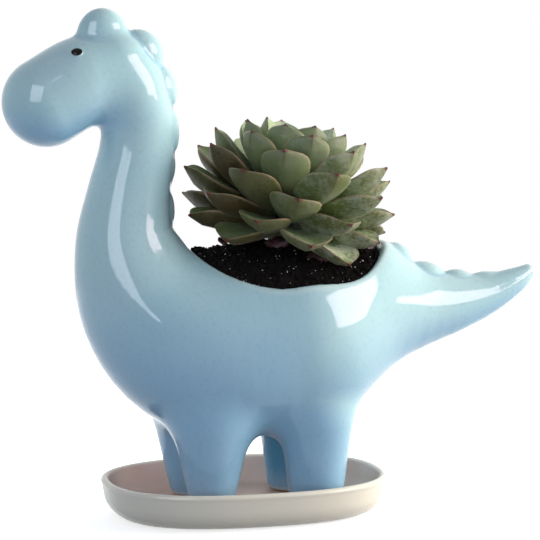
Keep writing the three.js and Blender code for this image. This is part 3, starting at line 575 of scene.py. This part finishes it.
# Damp peat potting mix, crumbled by hand: nearly black, matt, with brown fibre and no gloss
peat, tree, place = newMaterial("damp_peat_mix")
fibre = noise(tree, place, soil["fibreSize"], 6.0, Roughness=0.7)
share = fade(tree, fibre, 0.42, 0.68)
colour = addNode(tree, "Mix", rgba, {0: share, 6: linear(soil["dark"]), 7: linear(soil["brown"])})
rough = addNode(tree, "Bump", links={"Height": fibre, "Strength": 0.8, "Distance": soil["fibreDepth"] * mm})
shader = addNode(tree, "BsdfPrincipled", links={
    "Base Color": colour.outputs[2], "Roughness": 0.85, "IOR": 1.4, "Specular IOR Level": 0.12,
    "Normal": rough})
addNode(tree, "OutputMaterial", links={"Surface": shader})
addPiece("soil_plug", np.concatenate(soilRings), ringFaces(len(soilRings), soil["turns"]), peat, "plant", ["soil"])

# Pale grit and expanded perlite: dry mineral grains, rough and bright against the peat
grit, tree, place = newMaterial("pale_grit_and_perlite")
grain = noise(tree, place, soil["dustSize"], 3.0)
tone = addNode(tree, "Attribute", {"attribute_name": "grainTone"})
colour = addNode(tree, "Mix", rgba, {
    0: tone.outputs["Fac"], 6: linear(soil["gritColour"]), 7: linear(soil["perliteColour"])})
dusty = fade(tree, grain, 0.45, 0.7, high=0.5)
colour = addNode(tree, "Mix", rgba, {0: dusty, 6: colour.outputs[2], 7: linear(soil["dust"])})
shader = addNode(tree, "BsdfPrincipled", links={"Base Color": colour.outputs[2], "Roughness": 0.7, "IOR": 1.5})
addNode(tree, "OutputMaterial", links={"Surface": shader})

# a rounded block of 26 points, two by two quads on each side
lattice = [(a, b, c) for a in (-1, 0, 1) for b in (-1, 0, 1) for c in (-1, 0, 1) if (a, b, c) != (0, 0, 0)]
ball = np.array(lattice, float)
ball /= np.linalg.norm(ball, axis=1, keepdims=True)
grainFaces = []
for axis in range(3):
    u, v = (axis + 1) % 3, (axis + 2) % 3
    for sign in (-1, 1):
        grid = {(p[u], p[v]): i for i, p in enumerate(lattice) if p[axis] == sign}
        for s in (-1, 0):
            for t in (-1, 0):
                face = [grid[(s, t)], grid[(s + 1, t)], grid[(s + 1, t + 1)], grid[(s, t + 1)]]
                grainFaces.append(face if sign > 0 else face[::-1])


# scattered grains, each the rounded block bent at random and lifted by a part of its half size
def scatterGrains(count, sizes, lift):
    points, faces, shades = [], [], []
    turn = rng.uniform(0, 2 * math.pi, count)
    share = 1 - np.sqrt(rng.uniform(0.02, 1, count))
    share = np.clip(share, *soil["grainZone"])
    spots = soilPlace(turn, share)
    for spot in spots:
        size = rng.uniform(*sizes) / 2
        shape = ball * size * rng.uniform(*soil["grainStretch"], 3)
        shape = shape * rng.uniform(*soil["grainBend"], (len(ball), 1))
        spin = np.linalg.qr(rng.normal(size=(3, 3)))[0]
        if np.linalg.det(spin) < 0:
            spin[:, 0] *= -1
        faces.extend([[i + len(points) * len(ball) for i in face] for face in grainFaces])
        points.append(shape @ spin.T + spot + (0, 0, size * lift))
        shades.extend([rng.uniform(0, 1)] * len(ball))
    return np.concatenate(points), faces, shades


points, faces, _ = scatterGrains(soil["crumbs"], soil["crumbSize"], lift=0.1)
addPiece("soil_crumbs", points, faces, peat, "plant", ())
points, faces, shades = scatterGrains(soil["grit"], soil["gritSize"], lift=0.9)
addPiece("soil_grit", points, faces, grit, "plant", (), None, {"grainTone": np.array(shades) * 0.6})
points, faces, shades = scatterGrains(soil["perlite"], soil["perliteSize"], lift=0.5)
addPiece("soil_perlite", points, faces, grit, "plant", (), None,
         {"grainTone": np.array(shades) * 0.3 + 0.7})
print("soil done")

# Rosette: fleshy spoon leaves on a golden-angle spiral, placed on the tips of the solid leaves
leaf = {
    "width": 19, "thickness": 5.4, "cup": 3.0, "curl": 0.42, "skirtCurl": -0.18, "reach": 35.5, "skirtDrop": 5.3,
    "crownShift": 3, "crownRise": 22, "crownLean": 9.7, "crownSpan": 18, "stemRadius": 4.6, "rows": 40, "turns": 40,
    "young": "#abbf95", "grown": "#86a05a", "old": "#7f9650", "base": "#43581c", "back": "#58582a", "tan": "#3c2611",
    "powder": "#d8dec6", "margin": "#94745c", "keelLine": "#5a342b", "tip": "#5c2622", "roughness": 0.46, "ior": 1.4,
    "powderSize": 1.3, "powderDepth": 0.3, "cloudSize": 8, "fleckSize": 1.1, "spiralTurn": -137.508,
    "widthSpread": (0.95, 1.0), "twist": 0.05, "wave": (0.1, 0.3), "waveRate": 9, "firstRow": 0.1, "rowCrowding": 1.6,
    "keelRise": 0.3, "keelWidth": 0.2, "faceShares": (0.6, 1.2), "smoothing": 13,
    # tips of the folded heart: away from the crown's axis, height on it
    "heart": [(7.2, 16.4), (6.0, 15.7), (4.9, 15.0), (3.8, 14.3), (2.8, 13.6), (1.9, 12.9)],
}
crown = np.array([pot["bowlX"] + leaf["crownShift"], 0, soilMiddle + leaf["crownRise"]])
lean = math.radians(leaf["crownLean"])
crownAxis = np.array([math.sin(lean), 0, math.cos(lean)])
# half width along the leaf: broad round shoulders and a short sharp tip
outline = np.array([(0, 0.32), (0.16, 0.44), (0.32, 0.6), (0.48, 0.82), (0.6, 0.95), (0.7, 1.0), (0.8, 0.98),
                    (0.87, 0.87), (0.92, 0.66), (0.95, 0.4), (0.965, 0.2), (0.98, 0.09), (1, 0.02)])
leafShares = np.linspace(0, 1, 301)
leafWidths = np.pad(np.interp(leafShares, outline[:, 0], outline[:, 1]), leaf["smoothing"] // 2, mode="edge")
leafWidths = np.convolve(leafWidths, np.ones(leaf["smoothing"]) / leaf["smoothing"], "valid")
leafWidths[-4:] = (0.05, 0.04, 0.03, 0.02)

# Living succulent leaf under a wax powder: grey-green flesh with a soft sheen, brown on the sunburnt backs,
# a pale dry margin, a dark red keel line and a red tip. Painted shade darkens the backs, the leaf bases and the
# leaves on the head side, and painted light makes the powder paler on the tail side.
# The powder is far finer and is drawn coarse enough to show.
leafSkin, tree, place = newMaterial("waxy_succulent_leaf")
rowMarks = ("leafBase", "leafUnder", "leafTan", "leafMargin", "leafKeel", "leafTip")  # these vary along a leaf
marks = {mark: addNode(tree, "Attribute", {"attribute_name": mark}).outputs["Fac"]
         for mark in ("leafAge", "leafBloomAndLight") + rowMarks}
cloud = noise(tree, place, leaf["cloudSize"], 3.0, Roughness=0.6)
powder = noise(tree, place, leaf["powderSize"], 4.0, Roughness=0.65)
fleck = noise(tree, place, leaf["fleckSize"], 2.0)
layers = []  # share and colour of each coat, laid over those before
share = fade(tree, marks["leafAge"], 0.1, 0.55)
layers.append((share, "grown"))
share = fade(tree, marks["leafAge"], 0.6, 1.0, high=0.8)
layers.append((share, "old"))
# darker green at the leaf bases: greener flesh, and painted shade deep in the rosette
layers.append((marks["leafBase"], "base"))
# darker olive on the backs: their own colour, and painted shade on the undersides
share = fade(tree, marks["leafAge"], 0.0, 0.8, 0.35, 0.8)
share = addNode(tree, "Math", {"operation": "MULTIPLY"}, {0: marks["leafUnder"], 1: share})
layers.append((share, "back"))
# powder rubbed off in clouds, thickest on the upper faces and, as painted light, on the tail side
share = addNode(tree, "Math", {"operation": "MULTIPLY_ADD"}, {0: cloud, 1: 0.9, 2: powder})
share = fade(tree, share, 0.84, 1.12, high=0.9)
thin = fade(tree, marks["leafUnder"], 0.0, 1.0, 1.0, 0.45)
thin = addNode(tree, "Math", {"operation": "MULTIPLY"}, {0: thin, 1: marks["leafBloomAndLight"]})
share = addNode(tree, "Math", {"operation": "MULTIPLY"}, {0: share, 1: thin})
layers.append((share, "powder"))
# brown tan on the backs, tips and head-side leaves, the last partly painted shade
share = addNode(tree, "Math", {"operation": "MULTIPLY_ADD"}, {0: powder, 1: 0.5, 2: marks["leafTan"]})
share = fade(tree, share, 0.25, 1.2, high=0.85)
layers.append((share, "tan"))
# small dark blemishes, only where the leaf is tanned brown
share = fade(tree, fleck, 0.56, 0.7, high=0.8)
worn = fade(tree, marks["leafTan"], 0.42, 0.8)
share = addNode(tree, "Math", {"operation": "MULTIPLY"}, {0: share, 1: worn})
layers.append((share, "tan"))
share = addNode(tree, "Math", {"operation": "MULTIPLY_ADD"}, {0: powder, 1: 0.7, 2: marks["leafKeel"]})
share = fade(tree, share, 0.5, 1.3, high=0.8)
layers.append((share, "keelLine"))
share = addNode(tree, "Math", {"operation": "MULTIPLY_ADD"}, {0: cloud, 1: 1.4, 2: marks["leafMargin"]})
share = fade(tree, share, 1.15, 1.8, high=0.8)
layers.append((share, "margin"))
share = fade(tree, marks["leafTip"], 0.25, 0.9, high=0.9)
layers.append((share, "tip"))
colour = linear(leaf["young"])
for share, coat in layers:
    colour = addNode(tree, "Mix", rgba, {0: share, 6: colour, 7: linear(leaf[coat])}).outputs[2]
grain = addNode(tree, "Bump", links={"Height": powder, "Strength": 0.3, "Distance": leaf["powderDepth"] * mm})
gloss = fade(tree, powder, 0.3, 0.7, leaf["roughness"] - 0.07, leaf["roughness"] + 0.12)
shader = addNode(tree, "BsdfPrincipled", links={
    "Base Color": colour, "Roughness": gloss, "IOR": leaf["ior"], "Specular IOR Level": 0.28,
    "Sheen Weight": 0.05, "Sheen Roughness": 0.4, "Normal": grain})
addNode(tree, "OutputMaterial", links={"Surface": shader})

leafNodes = sorted(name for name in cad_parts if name.startswith("leaf_"))
boxLow, boxHigh = np.array(cadBox) * metre
angles = np.linspace(0, 2 * math.pi, leaf["turns"], endpoint=False)
across, side = np.cos(angles), np.sin(angles)
blades = []  # name, solid that it stands for, tip from the crown, age
for order, name in enumerate(leafNodes):
    corners = np.array([v.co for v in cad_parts[name].data.vertices]) * metre - crown
    tip = corners[np.argmax(np.linalg.norm(corners, axis=1))]
    blades.append((name + "_blade", [name], tip, order / (len(leafNodes) - 1)))
heartOut = blades[0][2] - crownAxis * (blades[0][2] @ crownAxis)
heartOut /= np.linalg.norm(heartOut)
heartSide = np.cross(crownAxis, heartOut)
for k, (away, high) in enumerate(leaf["heart"], 1):  # the spiral runs on inward, in leaves too small for solids
    turn = math.radians(leaf["spiralTurn"] * k)
    tip = (heartOut * math.cos(turn) + heartSide * math.sin(turn)) * away + crownAxis * high
    blades.append((f"heart_{k:02d}_blade", [], tip, 0.0))
for name, nodes, tip, ageShare in blades:
    radial = tip - crownAxis * (tip @ crownAxis)
    radial /= np.linalg.norm(radial)
    sideways = np.cross(crownAxis, radial)
    start = np.array([leaf["stemRadius"] / 3, -leaf["crownSpan"] * ageShare])
    end = np.array([tip @ radial, tip @ crownAxis])
    reach = np.linalg.norm(end - (0.8 * leaf["stemRadius"], -leaf["skirtDrop"] * ageShare))
    size = min(1.0, math.sqrt(reach / leaf["reach"]))
    chord = end - start
    length = np.linalg.norm(chord)
    forward = chord / length
    upward = np.array([-forward[1], forward[0]])
    bow = leaf["curl"] + (leaf["skirtCurl"] - leaf["curl"]) * ageShare ** 3
    wide = leaf["width"] / 2 * size * rng.uniform(*leaf["widthSpread"])
    twist, wave, phase = rng.normal(0, leaf["twist"]), rng.uniform(*leaf["wave"]), rng.uniform(0, 6)
    # brown on leaves that point toward the head: partly sunburn, partly painted shade of the rosette's shaded side
    sunburnAndShade = smoothStep(0.1, -0.9, radial[0]) * smoothStep(0.12, 0.4, ageShare) * rng.uniform(0.75, 1.0)
    points = []
    values = {mark: [] for mark in rowMarks}
    for share in 1 - (1 - np.linspace(leaf["firstRow"], 1, leaf["rows"])) ** leaf["rowCrowding"]:
        width = np.interp(share, leafShares, leafWidths)
        thick = leaf["thickness"] / 2 * size * math.sqrt(max(1 - (1.6 * share - 0.7) ** 2, 0.02))
        thick *= min(1, 0.18 + 2.9 * (1 - share) ** 0.7)
        mid = start + chord * share - upward * bow * length * share * (1 - share)
        normal = upward + forward * bow * (1 - 2 * share)
        normal /= np.linalg.norm(normal)
        keel = leaf["keelRise"] * np.exp(-(across / leaf["keelWidth"]) ** 2) * (side < 0)
        keel = keel * smoothStep(0.3, 0.8, share)
        lift = thick * side * np.abs(side) ** 0.05 * (np.where(side > 0, *leaf["faceShares"]) + keel)
        lift = lift + leaf["cup"] * size * width * across ** 2 + wide * width * across * twist
        lift = lift + wave * across ** 2 * np.sin(leaf["waveRate"] * share + phase + 2 * across)
        spot = mid[None] + lift[:, None] * normal
        spread = np.outer(wide * width * across, sideways)
        points.append(crown + np.outer(spot[:, 0], radial) + np.outer(spot[:, 1], crownAxis) + spread)
        under = smoothStep(0.15, -0.4, side)
        outer = smoothStep(0.35, 0.95, share)
        # darker toward the base: greener flesh, and painted shade deep in the rosette
        values["leafBase"].append(np.full(leaf["turns"], 0.8 * smoothStep(0.68, 0.3, share)))
        values["leafUnder"].append(under)
        scorch = 0.5 * smoothStep(0.72, 1.0, share) + 0.3 * smoothStep(0.8, 1.0, np.abs(across))
        tan = np.maximum(sunburnAndShade * (0.55 + 0.45 * under), 0.45 * under * outer)
        values["leafTan"].append(np.maximum(tan, ageShare * scorch) * smoothStep(0.15, 0.5, share))
        values["leafMargin"].append(smoothStep(0.955, 0.995, np.abs(across)) * smoothStep(0.3, 0.6, share))
        keelLine = 0.65 * np.exp(-(across / 0.06) ** 2) * (side < 0)
        values["leafKeel"].append(keelLine * smoothStep(0.68, 0.98, share))
        values["leafTip"].append(np.full(leaf["turns"], smoothStep(0.95, 0.99, share)))
    points = np.clip(np.concatenate(points), boxLow + pot["boxRoom"], boxHigh - pot["boxRoom"])
    values = {mark: np.concatenate(rows) for mark, rows in values.items()}
    values["leafAge"] = np.full(len(points), ageShare + rng.normal(0, 0.04))
    bloomAndLight = 0.35 + 0.95 * smoothStep(-0.5, 0.7, radial[0])  # leaves on the tail side keep more powder, and are paler there as painted light
    values["leafBloomAndLight"] = np.full(len(points), bloomAndLight)
    faces = ringFaces(leaf["rows"], leaf["turns"])
    addPiece(name, points, faces, leafSkin, "plant", nodes, None, values)
print("leaves done:", len(blades))

# Dried leaves fallen round the stem: papery, shrunken, purple-brown and dull, with pale patches on the creases that
# are a painted highlight
dried = {
    "places": [(-66, 0.4, -8, 9.5, 52), (-112, 0.76, -28, 9.0, 48), (-8, 0.13, 20, 8.5, 35), (112, 0.5, 170, 9.5, 45),
               (170, 0.45, 80, 8.5, 40)],  # turn, share from the edge, heading, length, tilt
    "brown": "#2b1a16", "purple": "#47282f", "pale": "#77595c", "roughness": 0.45, "ior": 1.4,
    "creaseSize": 2.6, "creaseDepth": 0.6, "lift": 2.2, "rows": 16, "turns": 18,
}
driedSkin, tree, place = newMaterial("dried_papery_leaf")
crease = noise(tree, place, dried["creaseSize"], 4.0, Distortion=0.6)
share = fade(tree, crease, 0.38, 0.6)
colour = addNode(tree, "Mix", rgba, {0: share, 6: linear(dried["brown"]), 7: linear(dried["purple"])})
# pale patches on the creases: painted highlight
share = fade(tree, crease, 0.6, 0.75, high=0.7)
colour = addNode(tree, "Mix", rgba, {0: share, 6: colour.outputs[2], 7: linear(dried["pale"])})
folds = addNode(tree, "Bump", links={"Height": crease, "Strength": 0.7, "Distance": dried["creaseDepth"] * mm})
shader = addNode(tree, "BsdfPrincipled", links={
    "Base Color": colour.outputs[2], "Roughness": dried["roughness"], "IOR": dried["ior"], "Normal": folds})
addNode(tree, "OutputMaterial", links={"Surface": shader})
points, faces = [], []
for turn, share, heading, length, tilt in dried["places"]:
    spot = soilPlace(math.radians(turn), share) + (0, 0, dried["lift"])
    heading, tilt = math.radians(heading), math.radians(tilt)
    along = np.array([math.cos(heading), math.sin(heading), 0.1])
    level = np.array([-math.sin(heading) * math.cos(tilt), math.cos(heading) * math.cos(tilt), math.sin(tilt)])
    outward = np.cross(along, level)
    curl, phase = rng.uniform(0.5, 1.1), rng.uniform(0, 6)
    first = sum(len(rows) for rows in points)
    rows = []
    for step in np.linspace(0, 1, dried["rows"]):
        half = length * 0.3 * math.sin(math.pi * (0.06 + 0.9 * step)) ** 0.7
        turns = np.linspace(0, 2 * math.pi, dried["turns"], endpoint=False)
        u, v = np.cos(turns), np.sin(turns)
        lift = -curl * u * u + 0.45 * v + 0.4 * np.sin(8 * step + 3 * u + phase) * u * u - 1.6 * (step - 0.5) ** 2
        rows.append(spot + along * length * (step - 0.5) + np.outer(half * u, level) + np.outer(lift, outward))
    points.append(np.concatenate(rows))
    faces.extend([[i + first for i in face] for face in ringFaces(dried["rows"], dried["turns"])])
addPiece("dried_leaves", np.concatenate(points), faces, driedSkin, "plant", ())
print("dried leaves done")

# Floor and background: a paper disc in a white room, white to the eye and in mirrors, dimmer for other rays
stageLook = {"radius": 0.46, "sides": 96, "drop": 0.0002, "floor": "#f1f1f0", "bounce": "#8d9298", "lift": 0.66,
             "room": "#d6e5ff", "roomStrength": 0.18, "white": "#ffffff"}
floorPaint, floorTree, _ = newMaterial("matt_white_paper")
world = bpy.data.worlds.new("studio")
world.use_nodes = True
world.node_tree.nodes.clear()
bpy.context.scene.world = world
seenIn = []
for tree in (floorTree, world.node_tree):
    path = addNode(tree, "LightPath")
    seen = path.outputs["Is Camera Ray"]
    for ray in ("Is Glossy Ray", "Is Transmission Ray"):
        seen = addNode(tree, "Math", {"operation": "MAXIMUM"}, {0: seen, 1: path.outputs[ray]})
    seenIn.append(seen)
seenFloor, seenWorld = seenIn
tree = floorTree
glow = addNode(tree, "Math", {"operation": "MULTIPLY"}, {0: seenFloor, 1: stageLook["lift"]})
shade = addNode(tree, "Mix", rgba, {0: seenFloor, 6: linear(stageLook["bounce"]), 7: linear(stageLook["floor"])})
paper = addNode(tree, "BsdfDiffuse", links={"Color": shade.outputs[2]})
light = addNode(tree, "Emission", links={"Strength": glow})
both = addNode(tree, "AddShader", links={0: paper, 1: light})
addNode(tree, "OutputMaterial", links={"Surface": both})
tree = world.node_tree
room = addNode(tree, "Background", links={"Color": linear(stageLook["room"]), "Strength": stageLook["roomStrength"]})
white = addNode(tree, "Background", links={"Color": linear(stageLook["white"]), "Strength": 1.0})
mixed = addNode(tree, "MixShader", links={0: seenWorld, 1: room, 2: white})
addNode(tree, "OutputWorld", links={"Surface": mixed})

floorTurns = np.linspace(0, 2 * math.pi, stageLook["sides"], endpoint=False)
floorMesh = bpy.data.meshes.new("floor")
floorMesh.from_pydata([(stageLook["radius"] * math.cos(a), stageLook["radius"] * math.sin(a), -stageLook["drop"])
                       for a in floorTurns], [], [tuple(range(stageLook["sides"]))])
floorMesh.materials.append(floorPaint)
floor = addObject("floor", floorMesh)

# Camera: a long lens a little above the saucer, turned 15 degrees toward the head
camera = {"turn": 15, "target": (0, 0, 0.095), "height": 7.79, "distance": 1.1847, "focalPixels": 3291,
          "aimPixel": (244, 252), "halfFrame": 270, "clipEnd": 50}
turn, rise = math.radians(camera["turn"]), math.radians(camera["height"])
forward = Vector((math.sin(turn) * math.cos(rise), math.cos(turn) * math.cos(rise), -math.sin(rise)))
right = Vector((math.cos(turn), -math.sin(turn), 0))
up = right.cross(forward)
offX, offY = [camera["halfFrame"] - pixel for pixel in camera["aimPixel"]]
aim = forward * camera["focalPixels"] + right * offX - up * offY
lens = bpy.data.cameras.new("camera")
lens.angle = 2 * math.atan(camera["halfFrame"] / camera["focalPixels"])
lens.clip_end = camera["clipEnd"]
cameraPiece = addObject("camera", lens)
cameraPiece.location = Vector(camera["target"]) - forward * camera["distance"]
cameraPiece.rotation_euler = aim.to_track_quat("-Z", "Y").to_euler()
bpy.context.scene.camera = cameraPiece

# Lamps: two tall windows that are only seen mirrored, and soft panels all round that only light the surfaces,
# strongest from the right. Turn, in degrees to the right of the camera, and height are as seen from the pot.
window = {"away": 1.2, "rays": "glossy"}
panel = {"away": 1.3, "wide": 1.0, "tall": 1.0, "rays": "diffuse"}
lamps = {
    "right_window": {**window, "turn": 72, "height": 21, "wide": 0.66, "tall": 0.72,
                     "power": 15.5, "colour": "#ffe6f0"},
    "left_window": {**window, "turn": -27, "height": 27, "wide": 0.62, "tall": 0.84,
                    "power": 11.0, "colour": "#eef5ff"},
    "right_panel": {**panel, "turn": 85, "height": 6, "power": 14.0, "colour": "#fff8ee"},
    "back_panel": {**panel, "turn": 108, "height": 8, "power": 18.5, "colour": "#fff8ee"},
    "left_panel": {**panel, "turn": -60, "height": 5, "power": 2.2, "colour": "#dceaff"},
    "front_panel": {**panel, "turn": 0, "height": 2, "tall": 0.5, "power": 4.6, "colour": "#e6f0ff"},
    "far_panel": {**panel, "turn": 178, "height": 20, "power": 9.0, "colour": "#f6faff"},
    "head_panel": {**panel, "turn": -125, "height": 12, "power": 5.0, "colour": "#f2f6ff"},
    "top_panel": {**panel, "turn": 95, "height": 62, "wide": 0.8, "tall": 0.8, "power": 2.0, "colour": "#ffffff"},
}
lampTarget = Vector((0, 0, 0.1))
towardCamera = Vector((-forward.x, -forward.y, 0)).normalized()
for name, lamp in lamps.items():
    around, above = math.radians(lamp["turn"]), math.radians(lamp["height"])
    flat = towardCamera * math.cos(around) + right * math.sin(around)
    toward = flat * math.cos(above) + Vector((0, 0, math.sin(above)))
    data = bpy.data.lights.new(name, "AREA")
    data.shape = "RECTANGLE"
    data.size, data.size_y = lamp["wide"], lamp["tall"]
    data.energy = lamp["power"]
    data.color = linear(lamp["colour"])[:3]
    lampPiece = addObject(name, data)
    lampPiece.visible_diffuse = lamp["rays"] == "diffuse"
    lampPiece.visible_glossy = lamp["rays"] == "glossy"
    lampPiece.location = lampTarget + toward * lamp["away"]
    lampPiece.rotation_euler = toward.to_track_quat("Z", "Y").to_euler()
bpy.context.scene.view_settings.view_transform = "Standard"
print("stage, camera and lamps done")

# Drain screen, kept from the CAD. Black polypropylene mesh, stamped: matt, faintly scuffed
screen = {"dark": "#1d201f", "scuffed": "#3a3f3d", "scuffSize": 1.5, "roughness": 0.55, "ior": 1.49}
screenPlastic, tree, place = newMaterial("stamped_polypropylene_mesh")
scuff = noise(tree, place, screen["scuffSize"], 4.0)
colour = addNode(tree, "Mix", rgba, {0: scuff, 6: linear(screen["dark"]), 7: linear(screen["scuffed"])})
shader = addNode(tree, "BsdfPrincipled", links={
    "Base Color": colour.outputs[2], "Roughness": screen["roughness"], "IOR": screen["ior"]})
addNode(tree, "OutputMaterial", links={"Surface": shader})

# Stem, kept from the CAD. Woody succulent stem: mottled brown cork, with a green bud on top
stem = {"bark": "#3d3424", "cork": "#5d5a3c", "bud": "#7d925c", "barkSize": 2.5, "budFrom": 14, "budTo": 6,
        "roughness": 0.7, "ior": 1.42}
stemBark, tree, place = newMaterial("corky_stem")
bark = noise(tree, place, stem["barkSize"], 5.0)
colour = addNode(tree, "Mix", rgba, {0: bark, 6: linear(stem["bark"]), 7: linear(stem["cork"])})
high = addNode(tree, "SeparateXYZ", links={0: place})
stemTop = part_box("stem")[1][2]
share = fade(tree, high.outputs["Z"], stemTop - stem["budFrom"] * mm, stemTop - stem["budTo"] * mm)
colour = addNode(tree, "Mix", rgba, {0: share, 6: colour.outputs[2], 7: linear(stem["bud"])})
shader = addNode(tree, "BsdfPrincipled", links={
    "Base Color": colour.outputs[2], "Roughness": stem["roughness"], "IOR": stem["ior"]})
addNode(tree, "OutputMaterial", links={"Surface": shader})
for name, material in (("drain_screen", screenPlastic), ("stem", stemBark)):
    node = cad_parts[name]
    node.data.materials.clear()
    node.data.materials.append(material)

print("scene ready")
